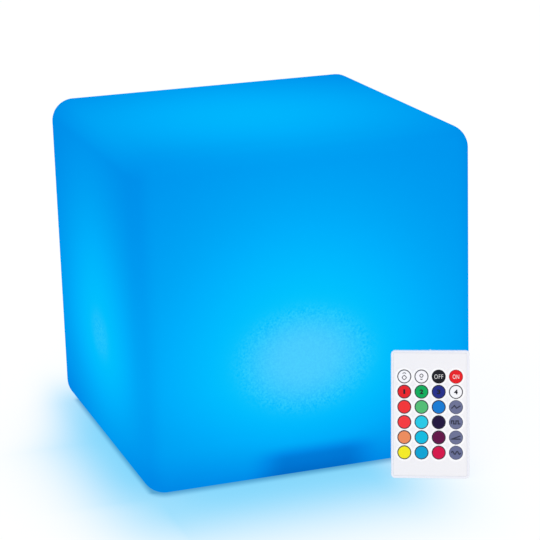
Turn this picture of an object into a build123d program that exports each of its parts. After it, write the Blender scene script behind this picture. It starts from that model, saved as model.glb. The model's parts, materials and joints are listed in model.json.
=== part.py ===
from build123d import *
from math import cos, hypot, radians, sin
import os

# A glowing cube light: a hollow moulded shell with a light unit screwed into a round
# recess in its underside, and a thin card remote that leans on its front face.
# Millimetres. The origin is the centre of the cube's underside, on the floor; +Z is up
# and the front face looks along -Y.

# ---------------------------------------------------------------- cube shell
cube_width = 234.0
cube_depth = 234.0
cube_height = 228.4
corner_radius = 16.0
shell_wall = 3.0
recess_radius = 60.0
recess_depth = 13.5
recess_mouth_round = 2.4
recess_corner_round = 1.5
shell_boss_radius = 4.6
shell_boss_height = 9.0
shell_pilot_spare = 1.0

# ---------------------------------------------------------------- light unit: base plate and gasket
plate_thickness = 3.0
plate_edge_gap = 3.0
plate_edge_chamfer = 0.8
gasket_thickness = 1.5
unit_opening_clearance = 0.8
seal_width = 1.4
seal_height = 1.2
flange_width = 13.0

# ---------------------------------------------------------------- light unit: housing and dome
housing_wall = 2.2
housing_clearance = 0.9
housing_inner_round = 1.0
deck_thickness = 2.0
deck_clearance = 0.4
dome_lip_height = 1.5
dome_lip_width = 1.3
dome_clearance = 0.2
dome_wall = 1.8
dome_foot_height = 3.0
dome_rise = 14.0

# ---------------------------------------------------------------- screws
base_screw_count = 6
base_screw_radius = 1.5
base_screw_length = 13.0
base_head_radius = 3.0
base_head_height = 1.7
unit_screw_radius = 1.2
unit_screw_length = 6.0
unit_head_radius = 2.2
unit_head_height = 1.5
screw_hole_clearance = 0.15
thread_clearance = 0.03
head_clearance = 0.2
pilot_spare = 0.5
unit_boss_radius = 3.2
housing_boss_overlap = 0.2
housing_boss_count = 3
deck_boss_radius = 2.6
deck_boss_floor = 0.6

# ---------------------------------------------------------------- rechargeable cell
cell_radius = 9.2
cell_length = 65.0
cell_edge_round = 0.6
cell_nub_radius = 2.6
cell_nub_height = 0.8
cell_lift = 0.8
saddle_thickness = 3.0
saddle_depth = 14.7
saddle_spacing = 44.0
saddle_clearance = 0.1
clamp_thickness = 1.2
clamp_clearance = 0.15
clamp_width = 10.0
clamp_foot_length = 6.0
clamp_foot_height = 5.0

# ---------------------------------------------------------------- boards and what stands on them
board_width = 44.0
board_depth = 26.0
board_thickness = 1.6
board_back_edge = -5.0
board_post_radius = 2.8
board_edge_margin = 3.2
chip_width = 9.0
chip_depth = 5.4
chip_height = 1.6
chip_dimple_radius = 0.5
chip_dimple_inset = 1.1
chip_dimple_depth = 0.3
transistor_count = 3
transistor_width = 5.0
transistor_depth = 4.0
transistor_height = 1.8
transistor_pitch = 8.0
transistor_tab_width = 4.0
transistor_tab_depth = 1.2
transistor_tab_height = 0.5
capacitor_radius = 3.1
capacitor_height = 8.0
capacitor_crimp_level = 1.2
capacitor_crimp_height = 0.6
capacitor_crimp_depth = 0.3
led_board_edge_gap = 3.0
led_board_screw_inset = 6.5
led_count = 12
led_ring_radius = 22.0
led_ring_turn = 15.0
led_size = 5.0
led_height = 1.6
led_well_radius = 1.8
led_well_depth = 0.4
receiver_width = 6.0
receiver_depth = 4.6
receiver_height = 7.0
receiver_lens_level = 4.2
receiver_lens_radius = 2.0

# ---------------------------------------------------------------- wires
wire_radius = 0.65
wire_bend = 1.6
harness_count = 4
harness_pitch = 1.9
harness_shift = 4.5
harness_inset = 2.0
harness_front_inset = 2.5
harness_slot_depth = 3.4
harness_slot_spare = 1.6
lead_standoff = 2.2
lead_rise = 5.0
lead_landing_inset = 2.0
lead_landing_shift = 5.0
lead_cell_gap = 1.3

# ---------------------------------------------------------------- underside controls
control_spacing = 24.0
socket_height = 9.0
socket_body_radius = 5.0
socket_collar_radius = 4.2
socket_bore_radius = 2.9
socket_bore_depth = 9.8
socket_pin_radius = 1.0
socket_pin_inset = 1.0
collar_inset = 0.4
collar_clearance = 0.1
button_radius = 6.0
button_proud = 0.6
button_travel = 0.8
button_clearance = 0.15
button_flange_width = 1.4
button_flange_height = 1.2
button_flange_gap = 0.2
button_stem_radius = 1.7
button_edge_round = 0.5
button_dish_radius = 12.0
button_dish_depth = 0.35
switch_size = 6.0
switch_height = 3.6
switch_well_spare = 0.5
switch_well_clearance = 0.2
stem_engagement = 0.3
lens_radius = 1.5
lens_inset = 0.1
lens_round = 0.9
lens_flange_width = 0.5
lens_flange_height = 1.0
lens_leg_width = 0.6
lens_leg_pitch = 1.6

# ---------------------------------------------------------------- rubber flap over the charging socket
flap_thickness = 1.0
flap_overlap = 1.6
flap_peg_height = 1.1
flap_peg_clearance = 0.3
flap_strap_width = 5.0
flap_reach = 9.0
flap_gap = 0.12
anchor_length = 4.0
anchor_peg_radius = 1.4
anchor_barb_width = 0.5
anchor_barb_height = 1.2
anchor_barb_tip_radius = 0.7

# ---------------------------------------------------------------- remote: case
remote_width = 52.0
remote_length = 85.0
remote_thickness = 6.5
remote_corner = 2.6
remote_edge_round = 0.8
remote_wall = 1.2
remote_floor = 0.9
remote_split = 4.0
remote_face_thickness = 0.8
faceplate_thickness = 0.3
faceplate_margin = 1.6
faceplate_clearance = 0.1
remote_board_thickness = 0.6
remote_board_clearance = 0.15
remote_rib = 1.0
remote_rib_tray_gap = 6.0
remote_rib_end_gap = 8.0
remote_post_radius = 0.45
smallest_corner = 0.4

# ---------------------------------------------------------------- remote: keys
key_columns = 4
key_rows = 6
key_pitch_x = 11.4
key_pitch_y = 10.1
first_row_inset = 17.3
key_radius = 4.45
key_proud = 0.5
key_edge_round = 0.25
key_clearance = 0.2
key_skirt_width = 0.4
key_skirt_gap = 0.2
key_stop_gap = 0.1
key_well_radius = 3.2
key_well_depth = 0.45
key_travel = 0.3
snap_dome_radius = 2.5
snap_dome_top_radius = 1.125
snap_dome_height = 0.3

# ---------------------------------------------------------------- remote: battery tray and electronics
coin_radius = 10.0
coin_thickness = 2.5
coin_edge_chamfer = 0.3
coin_clearance = 0.1
tray_rim = 1.8
tray_floor = 0.3
tray_floor_clearance = 0.1
tray_side_clearance = 0.2
tray_rim_drop = 0.15
tray_face_inset = 0.15
tray_corner = 1.0
tray_grip_radius = 5.0
tray_grip_reach = 1.5
tray_grip_depth = 0.5
contact_width = 3.0
contact_length = 9.0
contact_thickness = 0.12
contact_spacing = 6.2
contact_shift = 2.0
contact_slot_clearance = 0.5
contact_slot_drop = 0.3
emitter_radius = 1.5
emitter_length = 6.0
emitter_proud = 0.5
emitter_clearance = 0.1
remote_chip_width = 8.0
remote_chip_length = 6.0
remote_chip_height = 1.0

# ---------------------------------------------------------------- remote: how it leans on the cube
remote_side_inset = 47.4
remote_yaw = -24.9
remote_tilt = 14.9
lean_gap = 0.3

KEY_NAMES = (
    ("key_brighter", "key_dimmer", "key_off", "key_on"),
    ("key_red", "key_green", "key_blue", "key_white"),
    ("key_scarlet", "key_light_green", "key_azure", "key_flash"),
    ("key_vermilion", "key_cyan", "key_indigo", "key_strobe"),
    ("key_orange", "key_sky_blue", "key_plum", "key_fade"),
    ("key_yellow", "key_teal_blue", "key_magenta", "key_smooth"),
)

# ---------------------------------------------------------------- levels and places that follow
seat_underside = recess_depth
seat_top = recess_depth + shell_wall
plate_top = seat_underside - gasket_thickness
plate_bottom = plate_top - plate_thickness
board_bottom = plate_top + socket_height
board_top = board_bottom + board_thickness
board_middle_y = board_back_edge - board_depth / 2
board_front_edge = board_back_edge - board_depth

clamp_inner = cell_radius + clamp_clearance
clamp_outer = clamp_inner + clamp_thickness
cell_axis_z = plate_top + cell_lift + cell_radius
cell_axis_y = board_back_edge + clamp_foot_length + clamp_outer
clamp_foot_top = plate_top + clamp_foot_height

cell_corner = hypot(cell_length / 2 + cell_nub_height, cell_axis_y + cell_radius)
board_corner = hypot(board_width / 2, board_front_edge)
housing_inner = max(cell_corner, board_corner) + housing_clearance
housing_radius = housing_inner + housing_wall
unit_opening = housing_radius + unit_opening_clearance
plate_radius = min(unit_opening + flange_width, recess_radius - plate_edge_gap)
base_screw_circle = (unit_opening + plate_radius) / 2
cell_stack_top = cell_axis_z + clamp_outer
board_stack_top = board_top + capacitor_height
deck_underside = max(cell_stack_top, board_stack_top) + deck_clearance
deck_top = deck_underside + deck_thickness
led_board_top = deck_top + board_thickness
dome_radius = housing_radius - dome_lip_width - dome_clearance
led_board_radius = dome_radius - dome_wall - led_board_edge_gap

button_x = -control_spacing / 2
switch_well_depth = stem_engagement + button_travel + switch_well_spare
socket_x = control_spacing / 2
housing_boss_circle = housing_inner - unit_boss_radius + housing_boss_overlap
led_screw_y = led_board_radius - led_board_screw_inset
harness_half_width = harness_pitch * harness_count / 2
harness_x = -board_width / 2 + board_edge_margin + harness_half_width + harness_inset
harness_y = board_front_edge + board_edge_margin + harness_front_inset
lead_landing_x = board_width / 2 - board_edge_margin - lead_landing_inset
lead_landing_y = board_middle_y + lead_landing_shift

face_underside = remote_thickness - remote_face_thickness
remote_board_top = remote_split + remote_board_thickness
tray_width = 2 * (coin_radius + coin_clearance + tray_rim)
tray_bottom = remote_floor + tray_floor_clearance
coin_bottom = tray_bottom + tray_floor
coin_top = coin_bottom + coin_thickness
coin_centre_y = remote_wall + coin_clearance + coin_radius + tray_rim / 2
tray_length = coin_centre_y + coin_radius + coin_clearance + tray_rim / 2
slot_width = tray_width + 2 * tray_side_clearance
remote_x = cube_width / 2 - remote_side_inset

BASE = (Align.CENTER, Align.CENTER, Align.MIN)


# ---------------------------------------------------------------- small helpers
def disc(radius, bottom, top, x=0.0, y=0.0):
    """An upright cylinder between two heights."""
    return Pos(x, y, bottom) * Cylinder(radius, top - bottom, align=BASE)


def ring(outer, inner, bottom, top):
    """An upright tube between two heights."""
    return disc(outer, bottom, top) - disc(inner, bottom, top)


def block(width, depth, bottom, top, x=0.0, y=0.0):
    """An upright box between two heights, centred on x and y."""
    return Pos(x, y, bottom) * Box(width, depth, top - bottom, align=BASE)


def span_block(x_range, y_range, z_range):
    """A box given by its low and high value on each axis."""
    (x0, x1), (y0, y1), (z0, z1) = x_range, y_range, z_range
    return block(x1 - x0, y1 - y0, z0, z1, (x0 + x1) / 2, (y0 + y1) / 2)


def rounded_block(width, depth, bottom, top, radius):
    """A box with every edge rounded by the same radius."""
    solid = block(width, depth, bottom, top)
    return fillet(solid.edges(), radius)


def circles(shape, radius, height):
    """The round edges of one radius that lie at one height."""
    found = shape.edges().filter_by(GeomType.CIRCLE)
    return [e for e in found if abs(e.radius - radius) < 1e-3 and abs(e.center().Z - height) < 1e-3]


def around(count, radius, start=0.0):
    """Points spread evenly on a circle, as (x, y)."""
    turns = [radians(start + 360.0 * i / count) for i in range(count)]
    return [(radius * cos(turn), radius * sin(turn)) for turn in turns]


def screw(head_radius, head_height, shank_radius, length):
    """A pan-head screw that points along +Z from its driven face, with a cross recess."""
    head = disc(head_radius, 0, head_height)
    shank = disc(shank_radius, head_height, head_height + length)
    tip = circles(shank, shank_radius, head_height + length)
    shank = chamfer(tip, shank_radius / 2)
    cross_width = head_radius / 3
    cross_length = head_radius * 1.3
    cross = block(cross_length, cross_width, 0, head_height / 2)
    return head + shank - cross - Rot(0, 0, 90) * cross


def wire(points, bends):
    """A round wire along straight runs joined by arcs."""
    path = FilletPolyline(*points, radius=bends)
    start = Plane(origin=path @ 0, z_dir=path % 0)
    return sweep(start * Circle(wire_radius), path=path)


# ---------------------------------------------------------------- where the screws go
base_screw_points = around(base_screw_count, base_screw_circle, 90.0)
housing_screw_points = around(housing_boss_count, housing_boss_circle, 90.0)
board_post_points = [
    (-board_width / 2 + board_edge_margin, board_back_edge - board_edge_margin),
    (board_width / 2 - board_edge_margin, board_back_edge - board_edge_margin),
    (0.0, board_front_edge + board_edge_margin),
]
clamp_foot_offset = clamp_outer + clamp_foot_length / 2
clamp_screw_points = [
    (0.0, cell_axis_y - clamp_foot_offset),
    (0.0, cell_axis_y + clamp_foot_offset),
]
led_screw_points = [(0.0, led_screw_y), (0.0, -led_screw_y)]


# ---------------------------------------------------------------- cube shell
def make_cube_shell():
    """The hollow cube, with the round recess, its seat and the blind screw bosses."""
    inner_width = cube_width - 2 * shell_wall
    inner_depth = cube_depth - 2 * shell_wall
    inner_radius = corner_radius - shell_wall
    outer = rounded_block(cube_width, cube_depth, 0, cube_height, corner_radius)
    cavity = rounded_block(inner_width, inner_depth, shell_wall, cube_height - shell_wall, inner_radius)
    shell = outer - cavity
    shell += disc(recess_radius + shell_wall, 0, seat_top)
    for x, y in base_screw_points:
        shell += disc(shell_boss_radius, seat_top, seat_top + shell_boss_height, x, y)
    shell -= disc(recess_radius, 0, seat_underside)
    shell -= disc(unit_opening, 0, seat_top)
    tip = plate_bottom + base_head_height + base_screw_length
    for x, y in base_screw_points:
        pilot = base_screw_radius + thread_clearance
        shell -= disc(pilot, seat_underside, tip + shell_pilot_spare, x, y)
    shell = fillet(circles(shell, recess_radius, seat_underside), recess_corner_round)
    return fillet(circles(shell, recess_radius, 0), recess_mouth_round)


# ---------------------------------------------------------------- base plate, gasket and seal
def make_base_plate():
    """The round plate that closes the unit from below, with its posts, saddles and holes."""
    plate = disc(plate_radius, plate_bottom, plate_top)
    plate = chamfer(circles(plate, plate_radius, plate_bottom), plate_edge_chamfer)
    plate -= seal_ring()
    for x in (-saddle_spacing / 2, saddle_spacing / 2):
        plate += block(saddle_thickness, saddle_depth, plate_top, cell_axis_z, x, cell_axis_y)
    cradle = Cylinder(cell_radius + saddle_clearance, cell_length)
    plate -= Pos(0, cell_axis_y, cell_axis_z) * Rot(0, 90, 0) * cradle
    for x, y in clamp_screw_points:
        plate += block(clamp_width, clamp_foot_length, plate_top, clamp_foot_top, x, y)
    for x, y in board_post_points:
        plate += disc(board_post_radius, plate_top, board_bottom, x, y)
    pilot = unit_screw_radius + thread_clearance
    for x, y in clamp_screw_points:
        plate -= disc(pilot, clamp_foot_top + clamp_thickness - unit_screw_length, clamp_foot_top, x, y)
    for x, y in board_post_points:
        plate -= disc(pilot, board_top - unit_screw_length - pilot_spare, board_bottom, x, y)
    plate -= screw_holes(base_screw_points, base_screw_radius, base_head_radius, base_head_height)
    plate -= screw_holes(housing_screw_points, unit_screw_radius, unit_head_radius, unit_head_height)
    plate -= disc(button_radius + button_clearance, plate_bottom, plate_top, button_x, board_middle_y)
    plate -= disc(socket_collar_radius + collar_clearance, plate_bottom, plate_top, socket_x, board_middle_y)
    plate -= disc(lens_radius + collar_clearance, plate_bottom, plate_top, 0, board_middle_y)
    plate -= disc(anchor_peg_radius + thread_clearance, plate_bottom, plate_top, socket_x, anchor_y())
    return plate


def screw_holes(points, shank_radius, head_radius, head_height):
    """Clearance holes through the plate, counterbored from below to sink the heads."""
    holes = []
    for x, y in points:
        holes.append(disc(shank_radius + screw_hole_clearance, plate_bottom, plate_top, x, y))
        holes.append(disc(head_radius + head_clearance, plate_bottom, plate_bottom + head_height, x, y))
    return holes


def seal_ring():
    """The rubber seal that lies in the plate's groove under the housing's wall."""
    middle = housing_inner + housing_wall / 2
    return ring(middle + seal_width / 2, middle - seal_width / 2, plate_top - seal_height, plate_top)


def make_base_gasket():
    """The foam ring between the plate's flange and the shell's seat."""
    gasket = ring(plate_radius, unit_opening, plate_top, seat_underside)
    for x, y in base_screw_points:
        gasket -= disc(base_screw_radius + screw_hole_clearance, plate_top, seat_underside, x, y)
    return gasket


# ---------------------------------------------------------------- housing and dome
def make_unit_housing():
    """The cup that holds the works, open below, with the deck that carries the lamps."""
    cup = disc(housing_radius, plate_top, deck_top) - disc(housing_inner, plate_top, deck_underside)
    cup = fillet(circles(cup, housing_inner, deck_underside), housing_inner_round)
    cup += ring(housing_radius, housing_radius - dome_lip_width, deck_top, deck_top + dome_lip_height)
    pilot = unit_screw_radius + thread_clearance
    for x, y in housing_screw_points:
        boss = disc(unit_boss_radius, plate_top, deck_underside, x, y)
        cup += boss & disc(housing_inner, plate_top, deck_underside)
        tip = plate_bottom + unit_head_height + unit_screw_length
        cup -= disc(pilot, plate_top, tip + pilot_spare, x, y)
    for x, y in led_screw_points:
        pilot_bottom = led_board_top - unit_screw_length - pilot_spare
        cup += disc(deck_boss_radius, pilot_bottom - deck_boss_floor, deck_underside, x, y)
        cup -= disc(pilot, pilot_bottom, deck_top, x, y)
    slot_reach = 2 * harness_half_width + harness_slot_spare
    slot_y = harness_y + harness_shift
    return cup - block(slot_reach, harness_slot_depth, deck_underside, deck_top, harness_x, slot_y)


def make_diffuser_dome():
    """A shallow milky dome on a short straight foot."""
    foot_top = deck_top + dome_foot_height
    outer = (dome_radius**2 + dome_rise**2) / (2 * dome_rise)
    centre = foot_top + dome_rise - outer
    whole = disc(dome_radius, deck_top, foot_top)
    whole += (Pos(0, 0, centre) * Sphere(outer)) & disc(dome_radius, foot_top, foot_top + dome_rise)
    hollow_radius = dome_radius - dome_wall
    inner = outer - dome_wall
    hollow = disc(hollow_radius, deck_top, foot_top)
    hollow += (Pos(0, 0, centre) * Sphere(inner)) & disc(hollow_radius, foot_top, foot_top + dome_rise)
    return whole - hollow


# ---------------------------------------------------------------- screws
def make_base_screws():
    """The screws that hold the unit in the shell, driven from below."""
    one = screw(base_head_radius, base_head_height, base_screw_radius, base_screw_length)
    return Compound([Pos(x, y, plate_bottom) * one for x, y in base_screw_points])


def make_unit_screws():
    """The small screws of the housing, control board, cell clamp and lamp board."""
    one = screw(unit_head_radius, unit_head_height, unit_screw_radius, unit_screw_length)
    turned = Rot(180, 0, 0) * one
    placed = [Pos(x, y, plate_bottom) * one for x, y in housing_screw_points]
    placed += [Pos(x, y, board_top + unit_head_height) * turned for x, y in board_post_points]
    clamp_head = clamp_foot_top + clamp_thickness + unit_head_height
    placed += [Pos(x, y, clamp_head) * turned for x, y in clamp_screw_points]
    placed += [Pos(x, y, led_board_top + unit_head_height) * turned for x, y in led_screw_points]
    return Compound(placed)


# ---------------------------------------------------------------- cell
def make_battery_cell():
    """The round rechargeable cell, lying across the unit, with its raised terminal."""
    body = fillet(Cylinder(cell_radius, cell_length).edges(), cell_edge_round)
    nub = Pos(0, 0, cell_length / 2) * Cylinder(cell_nub_radius, cell_nub_height, align=BASE)
    return Pos(0, cell_axis_y, cell_axis_z) * Rot(0, 90, 0) * (body + nub)


def make_battery_clamp():
    """The sprung strap over the cell, with a screwed foot at each side."""
    rise = cell_axis_z - clamp_foot_top
    outer = Circle(clamp_outer) + Pos(0, -rise / 2) * Rectangle(2 * clamp_outer, rise)
    inner = Circle(clamp_inner) + Pos(0, -rise / 2) * Rectangle(2 * clamp_inner, rise)
    below = Pos(0, -rise - clamp_outer) * Rectangle(4 * clamp_outer, 2 * clamp_outer)
    feet_width = 2 * (clamp_outer + clamp_foot_length)
    feet = Pos(0, -rise + clamp_thickness / 2) * Rectangle(feet_width, clamp_thickness)
    profile = outer + feet - inner - below
    section = Plane.YZ.offset(-clamp_width / 2) * profile
    strap = Pos(0, cell_axis_y, cell_axis_z) * extrude(section, amount=clamp_width)
    for x, y in clamp_screw_points:
        top = clamp_foot_top + clamp_thickness
        strap -= disc(unit_screw_radius + screw_hole_clearance, clamp_foot_top, top, x, y)
    return strap


def make_battery_leads():
    """The two wires from the cell's ends to the control board."""
    leads = []
    for side, start in ((1, cell_length / 2 + cell_nub_height), (-1, cell_length / 2)):
        out = cell_length / 2 + cell_nub_height + lead_standoff
        high = board_top + lead_rise
        gap_y = cell_axis_y - cell_radius - lead_cell_gap - wire_radius
        points = [
            (side * start, cell_axis_y, cell_axis_z),
            (side * out, cell_axis_y, cell_axis_z),
            (side * out, gap_y, high),
            (side * lead_landing_x, lead_landing_y, high),
            (side * lead_landing_x, lead_landing_y, board_top),
        ]
        leads.append(wire(points, wire_bend))
    return Compound(leads)


# ---------------------------------------------------------------- control board
def make_control_board():
    """The control board, drilled for its three screws."""
    board = block(board_width, board_depth, board_bottom, board_top, 0, board_middle_y)
    for x, y in board_post_points:
        board -= disc(unit_screw_radius + screw_hole_clearance, board_bottom, board_top, x, y)
    return board


def make_controller_chip():
    """The controller in its flat package, with a corner dimple."""
    top = board_top + chip_height
    chip = block(chip_width, chip_depth, board_top, top, 0, board_middle_y)
    dimple_x = -chip_width / 2 + chip_dimple_inset
    dimple_y = board_middle_y + chip_depth / 2 - chip_dimple_inset
    return chip - disc(chip_dimple_radius, top - chip_dimple_depth, top, dimple_x, dimple_y)


def make_driver_transistors():
    """The transistors that switch the colours, in a row with their tabs."""
    y = board_back_edge - board_edge_margin - transistor_depth / 2
    row = []
    for i in range(transistor_count):
        x = (i - (transistor_count - 1) / 2) * transistor_pitch
        body = block(transistor_width, transistor_depth, board_top, board_top + transistor_height, x, y)
        tab_y = y + (transistor_depth + transistor_tab_depth) / 2
        tab_top = board_top + transistor_tab_height
        row.append(body + block(transistor_tab_width, transistor_tab_depth, board_top, tab_top, x, tab_y))
    return Compound(row)


def make_smoothing_capacitor():
    """The round capacitor, with a crimped neck near its foot."""
    x = lead_landing_x - capacitor_radius
    y = board_front_edge + board_edge_margin + capacitor_radius
    can = disc(capacitor_radius, board_top, board_top + capacitor_height, x, y)
    neck_bottom = board_top + capacitor_crimp_level
    neck_top = neck_bottom + capacitor_crimp_height
    neck = disc(capacitor_radius, neck_bottom, neck_top, x, y)
    neck -= disc(capacitor_radius - capacitor_crimp_depth, neck_bottom, neck_top, x, y)
    return can - neck


def make_led_harness():
    """The wires that rise from the control board through the deck to the lamp board."""
    rise = deck_top - board_top
    low = board_top + rise / 3
    high = board_top + rise * 2 / 3
    wires = []
    for i in range(harness_count):
        x = harness_x + (i - (harness_count - 1) / 2) * harness_pitch
        points = [
            (x, harness_y, board_top),
            (x, harness_y, low),
            (x, harness_y + harness_shift, high),
            (x, harness_y + harness_shift, deck_top),
        ]
        wires.append(wire(points, wire_bend))
    return Compound(wires)


# ---------------------------------------------------------------- lamp board
def make_led_board():
    """The round lamp board on the deck."""
    board = disc(led_board_radius, deck_top, led_board_top)
    for x, y in led_screw_points:
        board -= disc(unit_screw_radius + screw_hole_clearance, deck_top, led_board_top, x, y)
    return board


def make_leds():
    """The ring of square colour lamps, each with its shallow well."""
    lamps = []
    for i, (x, y) in enumerate(around(led_count, led_ring_radius, led_ring_turn)):
        top = led_board_top + led_height
        lamp = block(led_size, led_size, led_board_top, top)
        lamp -= disc(led_well_radius, top - led_well_depth, top)
        turn = led_ring_turn + 360.0 * i / led_count
        lamps.append(Pos(x, y, 0) * Rot(0, 0, turn) * lamp)
    return Compound(lamps)


def make_ir_receiver():
    """The remote's receiver: an upright block with a round lens on its front."""
    top = led_board_top + receiver_height
    body = block(receiver_width, receiver_depth, led_board_top, top)
    lens_z = led_board_top + receiver_lens_level
    lens = Pos(0, -receiver_depth / 2, lens_z) * Sphere(receiver_lens_radius)
    return body + lens


# ---------------------------------------------------------------- underside controls
def make_charge_socket():
    """The barrel socket: its body on the board, its collar in the plate, and its pin."""
    mouth = plate_bottom + collar_inset
    body = disc(socket_body_radius, plate_top, board_bottom, socket_x, board_middle_y)
    body += disc(socket_collar_radius, mouth, plate_top, socket_x, board_middle_y)
    bore_top = mouth + socket_bore_depth
    body -= disc(socket_bore_radius, mouth, bore_top, socket_x, board_middle_y)
    pin = disc(socket_pin_radius, mouth + socket_pin_inset, bore_top, socket_x, board_middle_y)
    return Compound([body, pin])


def switch_bottom():
    """Height of the push switch's lower face, under the control board."""
    return board_bottom - switch_height


def make_tact_switch():
    """The push switch, with the well that the button's stem works in."""
    bottom = switch_bottom()
    body = block(switch_size, switch_size, bottom, board_bottom, button_x, board_middle_y)
    well = button_stem_radius + switch_well_clearance
    return body - disc(well, bottom, bottom + switch_well_depth, button_x, board_middle_y)


def make_power_button():
    """The round push button, with its retaining flange and its stem to the switch."""
    face = plate_bottom - button_proud
    flange_bottom = plate_top + button_flange_gap
    flange_top = flange_bottom + button_flange_height
    cap = disc(button_radius, face, flange_top, button_x, board_middle_y)
    cap = fillet(circles(cap, button_radius, face), button_edge_round)
    flange_radius = button_radius + button_flange_width
    cap += disc(flange_radius, flange_bottom, flange_top, button_x, board_middle_y)
    dish_z = face - button_dish_radius + button_dish_depth
    cap -= Pos(button_x, board_middle_y, dish_z) * Sphere(button_dish_radius)
    stem_top = switch_bottom() + stem_engagement
    return cap + disc(button_stem_radius, flange_top, stem_top, button_x, board_middle_y)


def make_charge_indicator():
    """The small round lamp that shows in the plate, with its two legs to the board."""
    face = plate_bottom + lens_inset
    flange_top = plate_top + lens_flange_height
    lens = disc(lens_radius, face, plate_top, 0, board_middle_y)
    lens = fillet(circles(lens, lens_radius, face), lens_round)
    lens += disc(lens_radius + lens_flange_width, plate_top, flange_top, 0, board_middle_y)
    for side in (-0.5, 0.5):
        x = side * lens_leg_pitch
        lens += block(lens_leg_width, lens_leg_width, flange_top, board_bottom, x, board_middle_y)
    return lens


# ---------------------------------------------------------------- rubber flap
def hinge_y():
    """Where the flap's strap bends, in front of the socket."""
    return board_middle_y - flap_reach


def anchor_y():
    """Where the flap's anchor peg enters the plate."""
    return hinge_y() - flap_thickness / 2 - flap_gap - anchor_length / 2


def make_port_flap():
    """The rubber cover of the socket: a round pad with a shallow peg, and its strap."""
    top = plate_bottom - flap_gap
    bottom = top - flap_thickness
    pad_radius = socket_collar_radius + flap_overlap
    flap = disc(pad_radius, bottom, top, socket_x, board_middle_y)
    strap_x = (socket_x - flap_strap_width / 2, socket_x + flap_strap_width / 2)
    flap += span_block(strap_x, (hinge_y(), board_middle_y), (bottom, top))
    barrel = Rot(0, 90, 0) * Cylinder(flap_thickness / 2, flap_strap_width)
    flap += Pos(socket_x, hinge_y(), (bottom + top) / 2) * barrel
    peg_radius = socket_bore_radius - flap_peg_clearance
    peg_top = plate_bottom + collar_inset + flap_peg_height
    flap += disc(peg_radius, top, peg_top, socket_x, board_middle_y)
    hollow = socket_pin_radius + flap_peg_clearance
    return flap - disc(hollow, plate_bottom, peg_top, socket_x, board_middle_y)


def make_flap_anchor():
    """The fixed end of the flap: a small pad whose barbed peg grips the plate."""
    width = (socket_x - flap_strap_width / 2, socket_x + flap_strap_width / 2)
    length = (anchor_y() - anchor_length / 2, anchor_y() + anchor_length / 2)
    pad = span_block(width, length, (plate_bottom - flap_thickness, plate_bottom))
    barb_top = plate_top + anchor_barb_height
    peg = disc(anchor_peg_radius, plate_bottom, barb_top, socket_x, anchor_y())
    wide = anchor_peg_radius + anchor_barb_width
    barb = Cone(wide, anchor_barb_tip_radius, anchor_barb_height, align=BASE)
    return pad + peg + Pos(socket_x, anchor_y(), plate_top) * barb


# ---------------------------------------------------------------- remote: local frame
# In the remote's own frame x runs across it, y from its bottom end to its top end, and z
# from its back to its face, with the origin on the back's bottom edge.
def key_points():
    """Each key's place, row by row from the top, as (x, y)."""
    points = []
    for row in range(key_rows):
        y = remote_length - first_row_inset - row * key_pitch_y
        points.append([((c - (key_columns - 1) / 2) * key_pitch_x, y) for c in range(key_columns)])
    return points


def all_key_points():
    """The key places in one list."""
    return [point for row in key_points() for point in row]


def case_block(bottom, top, inset=0.0):
    """A slab of the case's outline, drawn in by an inset."""
    width = remote_width - 2 * inset
    length = remote_length - 2 * inset
    slab = block(width, length, bottom, top, 0, remote_length / 2)
    return fillet(slab.edges().filter_by(Axis.Z), max(remote_corner - inset, smallest_corner))


def case_envelope():
    """The closed outer form of the remote's case."""
    solid = case_block(0, remote_thickness)
    rims = solid.edges().filter_by(Axis.Z, reverse=True)
    return fillet(rims, remote_edge_round)


def make_remote_back_shell():
    """The back tray of the case, with the rails of the battery tray and the board ribs."""
    shell = case_envelope() & block(2 * remote_width, 3 * remote_length, 0, remote_split)
    shell -= case_block(remote_floor, remote_split, remote_wall)
    inside_top = remote_length - remote_wall
    rail_x = slot_width / 2 + remote_rib / 2
    rail_end = tray_length + tray_side_clearance
    for side in (-1, 1):
        rail = (side * rail_x - remote_rib / 2, side * rail_x + remote_rib / 2)
        shell += span_block(rail, (remote_wall / 2, rail_end + remote_rib), (remote_floor, remote_split))
        rib_x = side * remote_width / 4
        rib = (rib_x - remote_rib / 2, rib_x + remote_rib / 2)
        reach = (rail_end + remote_rib_tray_gap, inside_top - remote_rib_end_gap)
        shell += span_block(rib, reach, (remote_floor, remote_split))
    stop = (rail_end, rail_end + remote_rib)
    shell += span_block((-slot_width / 2, slot_width / 2), stop, (remote_floor, remote_split))
    mouth = (-slot_width / 2, slot_width / 2)
    shell -= span_block(mouth, (-remote_wall, remote_wall), (remote_floor, remote_split))
    contact_slot = contact_width / 2 + contact_slot_clearance
    slot_z = (coin_top - contact_slot_drop, remote_split)
    shell -= span_block((-contact_slot, contact_slot), stop, slot_z)
    emitter_hole = Rot(-90, 0, 0) * Cylinder(emitter_radius + emitter_clearance, 4 * remote_wall)
    return shell - Pos(0, remote_length, emitter_z()) * emitter_hole


def emitter_z():
    """Height of the emitter's axis, midway between the case's floor and the board."""
    return (remote_floor + remote_split) / 2


def make_remote_front_shell():
    """The front of the case: its rim, its pierced face and the posts that hold the board."""
    middle = (remote_split + remote_thickness) / 2
    half = (remote_thickness - remote_split) / 2
    shell = case_envelope() & block(2 * remote_width, 3 * remote_length, middle - half, middle + half)
    shell -= case_block(remote_split, face_underside, remote_wall)
    pocket_bottom = remote_thickness - faceplate_thickness
    shell -= case_block(pocket_bottom, remote_thickness, faceplate_margin)
    for x, y in post_points():
        shell += disc(remote_post_radius, remote_board_top, face_underside, x, y)
    for x, y in all_key_points():
        shell -= disc(key_radius + key_clearance, face_underside, pocket_bottom, x, y)
    return shell


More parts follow.
